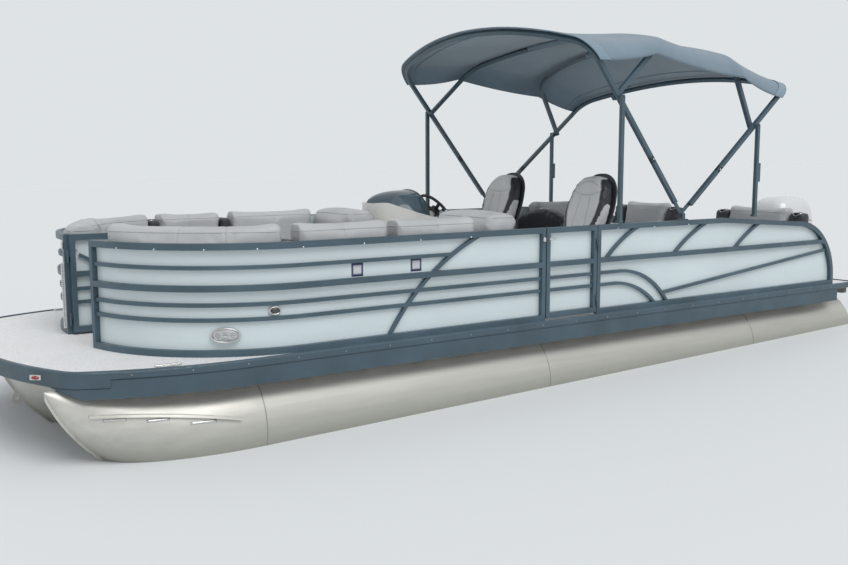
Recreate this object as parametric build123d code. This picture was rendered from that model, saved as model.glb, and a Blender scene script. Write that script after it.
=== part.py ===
"""Three-tube pontoon boat with a fenced deck, lounges, helm, bimini top and outboard motor.

Millimetres. X runs to the bow, Y to port and Z up. The origin is on the centreline at the
waterline, level with the stern end of the side fence.
"""
import math
import os

from build123d import *

# Deck and the beams under it
BEAM = 2580
DECK_TOP = 440
DECK_THICK = 22
DECK_AFT = -300
DECK_BOW = 6790
BOW_ARC_R = 2040
TAPER_X = 5550
TAPER_R = 2087
DECK_CORNER_R = 220
CROSS_HIGH = 76
CROSS_WIDE = 50
CROSS_WALL = 5
CROSS_PITCH = 406
CROSS_FIRST = -200
CROSS_COUNT = 17

# Hull tubes
TUBE_R = 317.5
TUBE_Z = 15
TUBE_INSET = 335
TUBE_AFT = -250
NOSE_START = 5480
NOSE_LENGTH = 1109
NOSE_TOP_RISE = 9
NOSE_TIP_HALF = 12
NOSE_TIP_HIGH = 20
NOSE_KEEL_FLAT = 200
NOSE_STATIONS = (0, 0.33, 0.6, 0.82, 0.94, 1)
CENTRE_TUBE_LEAD = 60
KEEL_DEEP = 12
KEEL_WIDE = 16
BRACKET_LONG = 60
BRACKET_WIDE = 170
EYE_Z = 100
EYE_OUT = 32
EYE_OUTER_R = 34
EYE_BORE_R = 12

# Spray rail on the outer side of each nose: X and Z of its ends and middle
STRAKE = ((5630, 115), (6010, 176), (6400, 203))
STRAKE_HIGH = 14
STRAKE_PROUD = 20

# Edge trim and side skirt
TRIM_WIDE = 28
TRIM_ROUND = 11
TRIM_LOW = 400
BOW_TRIM_LOW = 356
TRIM_LIP = 8
TRIM_JOINT_X = 6300
SKIRT_LOW = 300
SKIRT_INSET = 6
SKIRT_THICK = 16
SKIRT_AFT = 0
SKIRT_BOW = 6430
SKIRT_SLANT = 125

# Side fence: its centre line runs along the side, round a corner arc and across the bow
FENCE_INSET = 75
CORNER_R = 1005
CORNER_X = 5195
TUBE_WIDE = 32
RAIL_TOP = 1060
RAIL_HIGH = 38
THIN_HIGH = 22
THIN_DEEP = 22
THICK_HIGH = 35
THICK_Z = 826
THIN_Z = (942, 732, 647)
TOP_THIN_START = 4150
DIAGONAL = ((4640, 459), (4339, 810), (3931, 1055))
SKIN = 3
SKIN_EDGE = 6
SEAT_GAP = 0.3
PORT_END_Y = 425
STARBOARD_END_Y = 130
GATE_AFT_X = 2900
GATE_FORE_X = 3382
GATE_GAP = 6
GATE_LIFT = 14
HINGE_REACH = 14

# Aft section of the side fence: bars as X and Z of their ends and middle
DROP_X = 1500
DROP_FOOT = (514, 994)
STERN_ARC_R = 502
AFT_ARCS = (((2650, 733), (2455, 700), (2146, 470)), ((2690, 647), (2500, 608), (2279, 470)))
AFT_SLANTS = (((2470, 1050), (2655, 952), (2801, 826)), ((1722, 1045), (1915, 950), (2081, 826)),
              ((1050, 1020), (1215, 936), (1362, 826)))
AFT_BRACE = ((2200, 539), (120, 749))

# Stern fence and the opening for its gate
STERN_FENCE_X = 76
STERN_FENCE_TOP = 850
STERN_FENCE_INSET = 125
STERN_OPEN_Y = (-299, 130)
STERN_MID_Z = 646

# Hinge barrels of the gates
BARREL_R = 7
BARREL_LONG = 40
HINGE_TAB = 4
HINGE_Z = (500, 900)
STERN_HINGE_Z = (520, 740)

# Bow gate, stored open: bar given as distance from the hinge and height
BOW_GATE_OFFSET = 42
BOW_GATE_START = 12
BOW_GATE_BAR = ((70, 947), (143, 908))

# Seats
SEAT_BASE_TOP = 742
CUSHION_TOP = 865
BACK_TOP = 1180
STARBOARD_BACK_TOP = 1140
PORT_CHAISE_TOP = 1184
STARBOARD_CHAISE_TOP = 1132
BACK_THICK = 150
BACK_GAP = 40
BASE_GAP = 45
LOUNGE_DEPTH = 625
ARM_TOP = 1088
CUSHION_SPLIT = 6
BACK_ROUND = 48
SEAT_ROUND = 24

# First backs of the bow lounges: start along the fence line, distance short of the fence's end
PORT_FIRST_BACK = (5305, 82)
STARBOARD_FIRST_BACK = (6106, 0)

# Other backs: start and end along the fence line, whether it is a charcoal arm
PORT_BACKS = ((5231, 5299, True), (4593, 5225, False), (4562, 4587, True), (3931, 4556, False))
STARBOARD_BACKS = ((5431, 6100, False), (5327, 5425, True), (4811, 5321, False), (4731, 4805, True),
                   (3990, 4725, False))
PORT_CHAISE_X = (3590, 3925)
STARBOARD_CHAISE_X = (3650, 3984)
STARBOARD_FRONT = (5560, 130)

# Aft seats
AFT_BACK_X = (160, 310)
AFT_BACK_LEAN = 40
AFT_BACK_KNEE = 150
AFT_BACK_ROUND = 40
AFT_ARM_WIDE = 150
AFT_SEAT_X = 800
PORT_SEAT_IN_Y = 150
STARBOARD_SEAT_IN_Y = -312
AFT_ARM_TOP = 1070
AFT_BACK_TOP = 1115
SIDE_LOUNGE_X = (806, 1650)
SIDE_LOUNGE_DEPTH = 615
SIDE_BACK_TOP = 1140
SIDE_END_THICK = 130
SIDE_END_IN = 735
SIDE_END_LOW = 960
SIDE_END_TOP = 1090

# Captain's chairs, measured from the pedestal
CHAIR_X = 2425
HELM_Y = -750
PORT_CHAIR_Y = 400
PEDESTAL_R = 36
PEDESTAL_TOP = 742
PEDESTAL_FOOT_R = 150
PEDESTAL_FOOT_HIGH = 16
PEDESTAL_FLARE_R = 80
PEDESTAL_FLARE_HIGH = 60
CHAIR_HALF = 245
CHAIR_WALL = 20
CHAIR_PAN = 26
CHAIR_PAN_X = (-215, 270)
CHAIR_SEAT_X = (-150, 310)
CHAIR_SEAT_TOP = 885
CHAIR_SEAT_ROUND = 50
CHAIR_RECLINE = 19
CHAIR_BACK_X = -85
CHAIR_BACK_THICK = 110
CHAIR_SHELL = 14
CHAIR_TOP = 1420

# Outline of the chair's back as half width and height: foot, waist, shoulder, neck and top
SHIELD_FOOT = (165, 888)
SHIELD_WAIST = (222, 1050)
SHIELD_SHOULDER = (214, 1240)
SHIELD_NECK = (140, 1376)

# Side wing of the chair's shell as X and Z
WING_FRONT = (268, 800)
WING_TOP = (250, 862)
WING_MID = (20, 905)
WING_REAR = (-190, 1010)

# Helm console
CONSOLE_X = (2860, 3600)
CONSOLE_IN = 85
CONSOLE_WIDE = 700
CONSOLE_SHOULDER_X = 3350
CONSOLE_AFT_TOP = 1044
CONSOLE_WAIST = (3206, 1079)
CONSOLE_CREST = (3530, 1190)
CONSOLE_FRONT_TOP = 1182
CONSOLE_WALL = 15
DASH = ((2950, 880), (3095, 1055))
DASH_SIDE = 35
WHEEL_X = 2935
WHEEL_Z = 1105
WHEEL_R = 170
WHEEL_GRIP_R = 13
WHEEL_SPOKES = (90, 210, 330)
WHEEL_HUB_R = 45
WHEEL_HUB_LONG = 50
WHEEL_HUB_SINK = 10
SPOKE_WIDE = 30
SPOKE_THICK = 10
COLUMN_R = 30

# Windscreen sections from aft to front: X, half width and top
SCREEN_THICK = 6
SCREEN_FOOT = 1030
SCREEN_ROWS = ((3200, 344, 1289), (3350, 338, 1283), (3470, 270, 1264), (3540, 186, 1240), (3586, 90, 1216))

# Bimini top
PIVOT = (1980, 1120)
BOW_TUBE = 32
BOW_INSET = 25
LAYER = 38
STRUT_TUBE = 28
FRONT_CROSS = (2686, 1981)
REAR_CROSS = (1146, 1809)
FRONT_CORNER = (2888, 2228)
REAR_CORNER = (864, 2042)
FRONT_MID_CORNER = (2336, 2300)
REAR_MID_CORNER = (1348, 2204)
BOW_RISE = 130
REAR_MID_RISE = 100
CROWN = 235
BOW_BEND_R = 190
LEG_START = 120
PIN_LUG = 10
EYE_R = 17
PIN_R = 6
PIN_CLEAR = 0.1
PIN_OVER = 4
MOUNT_LONG = 100
MOUNT_THICK = 8
STRUT_FOOT = (44, 16)
LIGHT_BOX_Z = (1360, 1510)
LIGHT_BOX_DEEP = 24
CANOPY_THICK = 6
CANOPY_EDGE = 22
CANOPY_DROP = 130

# Outboard motor and its pod
TRANSOM_X = -640
TRANSOM_TOP = 400
POD_LOW = -180
POD_KEEL_DROP = 60
POD_HALF = 300
TILT_AXIS = (-690, 430)
TILT_TUBE_R = 16
CLAMP_Y = (108, 124)
CLAMP_LOW = 20
SWIVEL_X = -775
SWIVEL_R = 42
SWIVEL_HALF = 60
SWIVEL_Z = (-10, 470)
SHAFT_R = 24
YOKE_R = 45
YOKES_Z = ((-60, -20), (480, 510))

# Leg sections from the top down: height, front, back and half width
LEG_ROWS = ((520, -827, -1190, 150), (440, -827, -1150, 132), (250, -829, -1060, 78), (-20, -832, -1020, 56),
            (-268, -840, -1030, 48), (-480, -880, -1050, 34))
PLATE_Z = -278
PLATE_THICK = 10
PLATE_X = (-1230, -830)
PLATE_HALF = 112
SKEG_Z = -700
SKEG_HALF = 7
PROP_X = -1210
PROP_Z = -480
PROP_R = 185
PROP_LONG = 130
PROP_PITCH = 35
HUB_R = 52
PROP_SHAFT_R = 14
BLADE_THICK = 6
BLADE_HALF = 66
GEARCASE_R = 60
CASE_LONG = 250
CASE_NOSE = 120
COWL_BASE = 520
COWL_WALL = 5
PAN_THICK = 6
COWL_ROOF = 40
ENGINE_LONG = 340
ENGINE_HALF = 120
ENGINE_HIGH = 420

# Cowl sections from the bottom up: height, front, back, half width and corner radius
COWL_ROWS = ((520, -720, -1215, 190, 110), (640, -690, -1270, 216, 120), (880, -680, -1290, 220, 125),
             (1060, -710, -1262, 196, 120), (1154, -830, -1150, 104, 80))

# Lamps on the fence's corner: distance along the fence line, height, length, height and depth
LAMPS = ((5664, 562, 172, 90, 24), (5383, 690, 75, 52, 14))

# Folding cleats: X and distance in from the deck's edge
CLEATS = ((6000, 72), (-120, 290))
CLEAT_LONG = 150
CLEAT_WIDE = 38
CLEAT_PLATE = 6
CLEAT_BAR_R = 7

FENCE_Y = BEAM / 2 - FENCE_INSET
TUBE_Y = BEAM / 2 - TUBE_INSET
CORNER_Y = FENCE_Y - CORNER_R
ARC_END = CORNER_X + CORNER_R * math.pi / 2
HALF_TUBE = TUBE_WIDE / 2
HALF_RAIL = RAIL_HIGH / 2
HALF_THIN = THIN_HIGH / 2
HALF_THICK = THICK_HIGH / 2
HALF_BOW = BOW_TUBE / 2
HALF_STRUT = STRUT_TUBE / 2
RAIL_LOW = DECK_TOP + HALF_RAIL
FENCE_TOP = RAIL_TOP + HALF_RAIL
DECK_LOW = DECK_TOP - DECK_THICK
CROSS_LOW = DECK_LOW - CROSS_HIGH
TUBE_TOP = TUBE_Z + TUBE_R
KEEL_RUN = NOSE_LENGTH - NOSE_KEEL_FLAT
KEEL_RISE = 2 * TUBE_R + NOSE_TOP_RISE - NOSE_TIP_HIGH
NOSE_KEEL_R = (KEEL_RUN ** 2 + KEEL_RISE ** 2) / (2 * KEEL_RISE)
KEEL_ARC_X = NOSE_START + NOSE_KEEL_FLAT
STERN_FENCE_Y = FENCE_Y - STERN_FENCE_INSET
SEAT_FLOOR = DECK_TOP + SEAT_GAP
SEAT_Z = SEAT_BASE_TOP + SEAT_GAP
SEAT_BACK_Y = FENCE_Y - BACK_GAP
LOUNGE_EDGE_Y = FENCE_Y - LOUNGE_DEPTH
MAIN_Y = FENCE_Y - BOW_INSET
INNER_Y = MAIN_Y - LAYER
STRUT_Y = MAIN_Y + LAYER + 1
FRONT_EYE_Y = (MAIN_Y - 6, MAIN_Y + 4)
REAR_EYE_Y = (MAIN_Y - 20, MAIN_Y - 10)
CONSOLE_Y = (CONSOLE_IN - FENCE_Y, CONSOLE_IN + CONSOLE_WIDE - FENCE_Y)
SIDE_GATE_AXIS = (GATE_AFT_X, FENCE_Y + HALF_TUBE + BARREL_R)
BOW_GATE_AXIS = (CORNER_X + CORNER_R, BOW_GATE_OFFSET - STARBOARD_END_Y)
BOW_GATE_LONG = PORT_END_Y - HALF_TUBE - GATE_GAP - BOW_GATE_AXIS[1] - BOW_GATE_START
STERN_GATE_AXIS = (STERN_FENCE_X + HALF_TUBE + BARREL_R, STERN_OPEN_Y[0] + GATE_GAP / 2)


def box(x0, x1, y0, y1, z0, z1):
    """A box from its low and high corners."""
    solid = Box(x1 - x0, y1 - y0, z1 - z0)
    return Pos((x0 + x1) / 2, (y0 + y1) / 2, (z0 + z1) / 2) * solid


def rod(start, end, radius):
    """A round bar between two points."""
    direction = Vector(*end) - Vector(*start)
    plane = Plane(origin=start, z_dir=direction)
    return extrude(plane * Circle(radius), amount=direction.length)


def mirrored(shape):
    """The same shape on the other side of the centreline."""
    return shape.mirror(Plane.XZ)


def side_view(edges, y0, y1):
    """Extrude a closed outline drawn in X and Z from y0 to y1."""
    face = make_face(edges)
    upright = Plane(origin=(0, y0, 0), x_dir=(1, 0, 0), z_dir=(0, -1, 0))
    return extrude(upright * face, amount=-(y1 - y0))


def side_poly(points, y0, y1):
    """Extrude a polygon given in X and Z from y0 to y1."""
    return side_view(Polyline(*points, close=True).edges(), y0, y1)


def side_pad(points, y0, y1, radius):
    """A side-view polygon with its two top corners rounded, extruded from y0 to y1."""
    face = make_face(Polyline(*points, close=True).edges())
    face = fillet(face.vertices().sort_by(Axis.Y)[-2:], radius)
    upright = Plane(origin=(0, y0, 0), x_dir=(1, 0, 0), z_dir=(0, -1, 0))
    return extrude(upright * face, amount=-(y1 - y0))


def side_bar(start, end, wide, y0, y1):
    """A straight flat bar drawn in X and Z."""
    dx, dz = end[0] - start[0], end[1] - start[1]
    length = math.hypot(dx, dz)
    nx, nz = -dz / length * wide / 2, dx / length * wide / 2
    points = [(start[0] + nx, start[1] + nz), (end[0] + nx, end[1] + nz),
              (end[0] - nx, end[1] - nz), (start[0] - nx, start[1] - nz)]
    return side_poly(points, y0, y1)


def circle_through(a, b, c):
    """Centre and radius of the circle through three points."""
    d = 2 * (a[0] * (b[1] - c[1]) + b[0] * (c[1] - a[1]) + c[0] * (a[1] - b[1]))
    sa, sb, sc = (p[0] ** 2 + p[1] ** 2 for p in (a, b, c))
    x = (sa * (b[1] - c[1]) + sb * (c[1] - a[1]) + sc * (a[1] - b[1])) / d
    y = (sa * (c[0] - b[0]) + sb * (a[0] - c[0]) + sc * (b[0] - a[0])) / d
    return (x, y), math.dist((x, y), a)


def side_arc_bar(a, b, c, wide, y0, y1):
    """A bar of even width along the arc through three points in X and Z."""
    centre, radius = circle_through(a, b, c)

    def on(point, r):
        scale = r / radius
        return (centre[0] + (point[0] - centre[0]) * scale, centre[1] + (point[1] - centre[1]) * scale)

    out, inn = radius + wide / 2, radius - wide / 2
    edges = [ThreePointArc(on(a, out), on(b, out), on(c, out)).edge(),
             Line(on(c, out), on(c, inn)).edge(),
             ThreePointArc(on(c, inn), on(b, inn), on(a, inn)).edge(),
             Line(on(a, inn), on(a, out)).edge()]
    return side_view(edges, y0, y1)


def fuse(parts):
    whole = parts[0]
    for part in parts[1:]:
        whole += part
    return whole


def soft_top(solid, radius):
    """Round the edges round the top of a cushion."""
    return fillet(solid.edges().group_by(Axis.Z)[-1], radius)


def path_point(s, d):
    """Plan point at distance s along the port fence line, d outside it."""
    if s <= CORNER_X:
        return (s, FENCE_Y + d)
    if s <= ARC_END:
        angle = math.pi / 2 - (s - CORNER_X) / CORNER_R
        reach = CORNER_R + d
        return (CORNER_X + reach * math.cos(angle), CORNER_Y + reach * math.sin(angle))
    return (CORNER_X + CORNER_R + d, CORNER_Y - (s - ARC_END))


def path_edges(s0, s1, d):
    """Plan edges along the fence line from s0 to s1, d outside it."""
    edges = []
    if s0 < CORNER_X:
        edges.append(Line(path_point(s0, d), path_point(min(s1, CORNER_X), d)).edge())
    if s1 > CORNER_X and s0 < ARC_END:
        a, b = max(s0, CORNER_X), min(s1, ARC_END)
        arc = ThreePointArc(path_point(a, d), path_point((a + b) / 2, d), path_point(b, d))
        edges.append(arc.edge())
    if s1 > ARC_END:
        edges.append(Line(path_point(max(s0, ARC_END), d), path_point(s1, d)).edge())
    return edges


def strip(s0, s1, d0, d1, z0, z1):
    """A wall that follows the port fence line between two offsets."""
    edges = path_edges(s0, s1, d0) + path_edges(s0, s1, d1)
    edges += [Line(path_point(s0, d0), path_point(s0, d1)).edge(),
              Line(path_point(s1, d0), path_point(s1, d1)).edge()]
    return Pos(0, 0, z0) * extrude(make_face(edges), amount=z1 - z0)


def inside_fence(d, z0, z1):
    """Everything inboard of the fence line moved by d, on both sides of the boat."""
    edges = path_edges(0, ARC_END, d)
    tip = path_point(ARC_END, d)
    edges += [Line(tip, (tip[0], -tip[1])).edge()]
    edges += [edge.mirror(Plane.XZ) for edge in path_edges(0, ARC_END, d)]
    edges += [Line((0, -FENCE_Y - d), (0, FENCE_Y + d)).edge()]
    return Pos(0, 0, z0) * extrude(make_face(edges), amount=z1 - z0)


def arc_at_y(y):
    """Distance along the fence line at which it crosses the given Y near the bow."""
    if y < CORNER_Y:
        return ARC_END + CORNER_Y - y
    angle = math.asin((y - CORNER_Y) / CORNER_R)
    return CORNER_X + (math.pi / 2 - angle) * CORNER_R


PORT_END_S = arc_at_y(PORT_END_Y)
STARBOARD_END_S = arc_at_y(STARBOARD_END_Y)


def keel_z(x, radius=NOSE_KEEL_R):
    """Height of the keel line, flat and then rising on an arc to the nose."""
    centre_z = TUBE_Z - TUBE_R + NOSE_KEEL_R
    if x <= KEEL_ARC_X:
        return centre_z - radius
    return centre_z - math.sqrt(radius ** 2 - (x - KEEL_ARC_X) ** 2)


def keel_x(z):
    """Where the nose's keel line reaches a height."""
    centre_z = TUBE_Z - TUBE_R + NOSE_KEEL_R
    return KEEL_ARC_X + math.sqrt(NOSE_KEEL_R ** 2 - (centre_z - z) ** 2)


def nose_half_width(x):
    """Half width of the nose in plan, on one arc from the tube to the tip."""
    drop = TUBE_R - NOSE_TIP_HALF
    plan_r = (NOSE_LENGTH ** 2 + drop ** 2) / (2 * drop)
    return TUBE_R - (plan_r - math.sqrt(plan_r ** 2 - (x - NOSE_START) ** 2))


def nose_section(x, grow=0):
    """Nose section at x: two arcs that meet at the top and at the keel."""
    share = (x - NOSE_START) / NOSE_LENGTH
    top = TUBE_TOP + NOSE_TOP_RISE * share
    low = keel_z(x)
    half = nose_half_width(x) + grow
    middle = (top + low) / 2
    edges = [ThreePointArc((0, top), (half, middle), (0, low)).edge(),
             ThreePointArc((0, low), (-half, middle), (0, top)).edge()]
    return Plane(origin=(x, 0, 0), x_dir=(0, 1, 0), z_dir=(1, 0, 0)) * make_face(edges)


def nose(grow=0):
    return loft([nose_section(NOSE_START + NOSE_LENGTH * t, grow) for t in NOSE_STATIONS])


def keel_strip():
    """Flat bar under the tube that sweeps up the nose."""
    outer = NOSE_KEEL_R + KEEL_DEEP
    inner = NOSE_KEEL_R - KEEL_DEEP
    tip_x = NOSE_START + NOSE_LENGTH
    back_x = tip_x - KEEL_DEEP
    mid_x = (KEEL_ARC_X + tip_x) / 2
    aft = TUBE_AFT + KEEL_DEEP
    edges = [Line((aft, keel_z(aft, outer)), (KEEL_ARC_X, keel_z(KEEL_ARC_X, outer))).edge(),
             ThreePointArc((KEEL_ARC_X, keel_z(KEEL_ARC_X, outer)), (mid_x, keel_z(mid_x, outer)),
                           (tip_x, keel_z(tip_x, outer))).edge(),
             Line((tip_x, keel_z(tip_x, outer)), (tip_x, keel_z(back_x, inner))).edge(),
             Line((tip_x, keel_z(back_x, inner)), (back_x, keel_z(back_x, inner))).edge(),
             ThreePointArc((back_x, keel_z(back_x, inner)), (mid_x, keel_z(mid_x, inner)),
                           (KEEL_ARC_X, keel_z(KEEL_ARC_X, inner))).edge(),
             Line((KEEL_ARC_X, keel_z(KEEL_ARC_X, inner)), (aft, keel_z(aft, inner))).edge(),
             Line((aft, keel_z(aft, inner)), (aft, keel_z(aft, outer))).edge()]
    return side_view(edges, -KEEL_WIDE / 2, KEEL_WIDE / 2)


def cross_stations():
    """X of each crossbeam."""
    return [CROSS_FIRST + CROSS_PITCH * i for i in range(CROSS_COUNT)]


def tube():
    """One hull tube on the centreline: barrel, nose, keel strip and beam brackets."""
    barrel = extrude(Plane(origin=(TUBE_AFT, 0, TUBE_Z), z_dir=(1, 0, 0)) * Circle(TUBE_R),
                     amount=NOSE_START - TUBE_AFT)
    body = barrel + nose() + keel_strip()
    for x in cross_stations():
        if x < NOSE_START:
            body += box(x - BRACKET_LONG / 2, x + BRACKET_LONG / 2, -BRACKET_WIDE / 2, BRACKET_WIDE / 2,
                        TUBE_TOP - BRACKET_LONG / 2, CROSS_LOW)
    return body


def strake():
    """Spray rail on the port side of a nose, curved with it."""
    first, middle, last = STRAKE
    return nose(STRAKE_PROUD) & side_arc_bar(first, middle, last, STRAKE_HIGH, 0, TUBE_R + STRAKE_PROUD)


def circle_meet(c1, r1, c2, r2):
    """The crossing of two circles with the larger second coordinate."""
    d = math.dist(c1, c2)
    a = (r1 ** 2 - r2 ** 2 + d ** 2) / (2 * d)
    h = math.sqrt(r1 ** 2 - a ** 2)
    ux, uy = (c2[0] - c1[0]) / d, (c2[1] - c1[1]) / d
    options = [(c1[0] + a * ux - h * uy, c1[1] + a * uy + h * ux),
               (c1[0] + a * ux + h * uy, c1[1] + a * uy - h * ux)]
    return max(options, key=lambda p: p[1])


def deck_outline(inset):
    """Plan of the deck, moved in from the outer edge of the trim."""
    half = BEAM / 2 - inset
    side_c, side_r = (TAPER_X, BEAM / 2 - TAPER_R), TAPER_R - inset
    bow_c, bow_r = (DECK_BOW - BOW_ARC_R, 0), BOW_ARC_R - inset
    corner = circle_meet(side_c, side_r, bow_c, bow_r)
    mid_x = (TAPER_X + corner[0]) / 2
    side_mid = (mid_x, side_c[1] + math.sqrt(side_r ** 2 - (mid_x - side_c[0]) ** 2))
    aft = DECK_AFT + inset
    edges = [Line((aft, -half), (TAPER_X, -half)).edge(),
             ThreePointArc((TAPER_X, -half), (side_mid[0], -side_mid[1]), (corner[0], -corner[1])).edge(),
             ThreePointArc((corner[0], -corner[1]), (DECK_BOW - inset, 0), corner).edge(),
             ThreePointArc(corner, side_mid, (TAPER_X, half)).edge(),
             Line((TAPER_X, half), (aft, half)).edge(),
             Line((aft, half), (aft, -half)).edge()]
    face = make_face(edges)
    turns = [v for v in face.vertices() if abs(v.X - corner[0]) < 1]
    return fillet(turns, DECK_CORNER_R - inset)


def deck_slab(inset, z0, z1):
    return Pos(0, 0, z0) * extrude(deck_outline(inset), amount=z1 - z0)


def half_width(x):
    """Half width of the deck over the trim at x."""
    if x <= TAPER_X:
        return BEAM / 2
    return BEAM / 2 - TAPER_R + math.sqrt(TAPER_R ** 2 - (x - TAPER_X) ** 2)


def crossbeams():
    """Channel beams across the tubes."""
    beams = []
    for x in cross_stations():
        half = half_width(x + CROSS_WIDE) - 2 * TRIM_WIDE
        outer = box(x - CROSS_WIDE / 2, x + CROSS_WIDE / 2, -half, half, CROSS_LOW, DECK_LOW)
        inner = box(x - CROSS_WIDE / 2 + CROSS_WALL, x + CROSS_WIDE, -half, half,
                    CROSS_LOW + CROSS_WALL, DECK_LOW - CROSS_WALL)
        beams.append(outer - inner)
    return beams


def trim_ring(low):
    """Edge trim round the whole deck with its outer edges rounded."""
    outer = deck_slab(0, low, DECK_TOP + TRIM_LIP)
    levels = outer.edges().group_by(Axis.Z)
    outer = fillet(levels[0] + levels[-1], TRIM_ROUND)
    return outer - deck_slab(TRIM_WIDE, low - 1, DECK_TOP + TRIM_LIP + 1)


def deck_trim():
    """Deep bow trim, stern trim, and the port side's trim with its skirt."""
    far = 2 * DECK_BOW
    bow_piece = trim_ring(BOW_TRIM_LOW) & box(TRIM_JOINT_X, far, -far, far, -far, far)
    ring = trim_ring(TRIM_LOW)
    stern_x = DECK_AFT + TRIM_WIDE
    stern = ring & box(-far, stern_x, -far, far, -far, far)
    side = ring & box(stern_x, TRIM_JOINT_X, 0, far, -far, far)
    skirt = (deck_slab(SKIRT_INSET, SKIRT_LOW, TRIM_LOW)
             - deck_slab(SKIRT_INSET + SKIRT_THICK, SKIRT_LOW, TRIM_LOW))
    under_bow = BOW_TRIM_LOW - SEAT_GAP
    window = side_poly([(SKIRT_AFT, SKIRT_LOW), (SKIRT_BOW, SKIRT_LOW), (SKIRT_BOW + SKIRT_SLANT, under_bow),
                        (TRIM_JOINT_X, under_bow), (TRIM_JOINT_X, TRIM_LOW), (SKIRT_AFT, TRIM_LOW)], 0, far)
    return bow_piece, stern, side + (skirt & window)


def rail_set(s0, s1, thin_top_from):
    """The five or six horizontal rails between two places on the fence line."""
    parts = []
    for z, high in ((RAIL_TOP, RAIL_HIGH), (THICK_Z, THICK_HIGH), (RAIL_LOW, RAIL_HIGH)):
        parts.append(strip(s0, s1, -HALF_TUBE, HALF_TUBE, z - high / 2, z + high / 2))
    for z, start in zip(THIN_Z, (thin_top_from, s0, s0)):
        parts.append(strip(start, s1, -HALF_TUBE, -HALF_TUBE + THIN_DEEP, z - THIN_HIGH / 2, z + THIN_HIGH / 2))
    return parts


def post(s0, s1):
    return strip(s0, s1, -HALF_TUBE, HALF_TUBE, DECK_TOP, RAIL_TOP + HALF_RAIL)


def diagonal():
    """Curved bar that crosses the bow section from the bottom rail to the top rail."""
    foot, middle, head = DIAGONAL
    inner = FENCE_Y - HALF_TUBE
    return side_arc_bar(foot, middle, head, THIN_HIGH, inner, inner + THIN_DEEP)


def barrel(axis, z0):
    return Pos(axis[0], axis[1], z0 + BARREL_LONG / 2) * Cylinder(BARREL_R, BARREL_LONG)


def hinge_half(axis, block, z0):
    """A hinge barrel with its leaf, given as x0, x1, y0, y1 from the hinge axis."""
    x, y = axis
    leaf = box(x + block[0], x + block[1], y + block[2], y + block[3], z0, z0 + BARREL_LONG)
    return barrel(axis, z0) + leaf


def hinges(axis, heights, fixed_block, moving_block):
    """Fixed and moving halves of a gate's hinges."""
    fixed = [hinge_half(axis, fixed_block, z) for z in heights]
    moving = [hinge_half(axis, moving_block, z + BARREL_LONG + SEAT_GAP) for z in heights]
    return fixed, moving


def bow_frame(aft_s, end_s):
    """Bow section of a side fence, as on the port side."""
    return fuse(rail_set(aft_s, end_s, TOP_THIN_START)
                + [post(aft_s, aft_s + TUBE_WIDE), post(end_s - TUBE_WIDE, end_s), diagonal()])


def bow_skin(aft_s, end_s):
    gap = -HALF_TUBE - SEAT_GAP
    return strip(aft_s + SKIN_EDGE, end_s - SKIN_EDGE, gap - SKIN, gap, DECK_TOP + SKIN_EDGE, FENCE_TOP - SKIN_EDGE)


def stern_outline(off, fore_x, low):
    """Side view of the aft section, whose top rail dips and then curves down to the deck."""
    foot_x, foot_z = DROP_FOOT
    centre = (foot_x, foot_z - STERN_ARC_R)
    reach = STERN_ARC_R + off
    half = reach * math.sqrt(0.5)
    left = centre[0] - reach
    points = [(fore_x, low), (fore_x, RAIL_TOP + off), (DROP_X, RAIL_TOP + off), (foot_x, foot_z + off)]
    edges = [Line(a, b).edge() for a, b in zip(points, points[1:])]
    edges += [ThreePointArc(points[-1], (centre[0] - half, centre[1] + half), (left, centre[1])).edge(),
              Line((left, centre[1]), (left, low)).edge(),
              Line((left, low), (fore_x, low)).edge()]
    return edges


def aft_frame():
    """Aft section of the side fence, with arcs, slanted struts and a long brace."""
    fore_x = GATE_AFT_X - GATE_GAP / 2
    y0, y1 = FENCE_Y - HALF_TUBE, FENCE_Y + HALF_TUBE
    thin = (y0, y0 + THIN_DEEP)
    outer = side_view(stern_outline(HALF_RAIL, fore_x, DECK_TOP), y0, y1)
    inner = side_view(stern_outline(-HALF_RAIL, fore_x - TUBE_WIDE, DECK_TOP + RAIL_HIGH), y0, y1)
    x_end = fore_x - HALF_TUBE
    bars = [box(0, x_end, y0, y1, THICK_Z - HALF_THICK, THICK_Z + HALF_THICK)]
    for start, middle, end in AFT_ARCS:
        bars.append(side_arc_bar(start, middle, end, THIN_HIGH, *thin))
        bars.append(box(start[0], x_end, *thin, start[1] - HALF_THIN, start[1] + HALF_THIN))
    for head, middle, foot in AFT_SLANTS:
        bars.append(side_arc_bar(head, middle, foot, THIN_HIGH, *thin))
    bars.append(side_bar(*AFT_BRACE, THIN_HIGH, *thin))
    return fuse([outer - inner] + [bar & outer for bar in bars])


def aft_skin():
    fore_x = GATE_AFT_X - GATE_GAP / 2 - SKIN_EDGE
    y1 = FENCE_Y - HALF_TUBE - SEAT_GAP
    return side_view(stern_outline(HALF_RAIL - SKIN_EDGE, fore_x, DECK_TOP + SKIN_EDGE), y1 - SKIN, y1)


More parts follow.
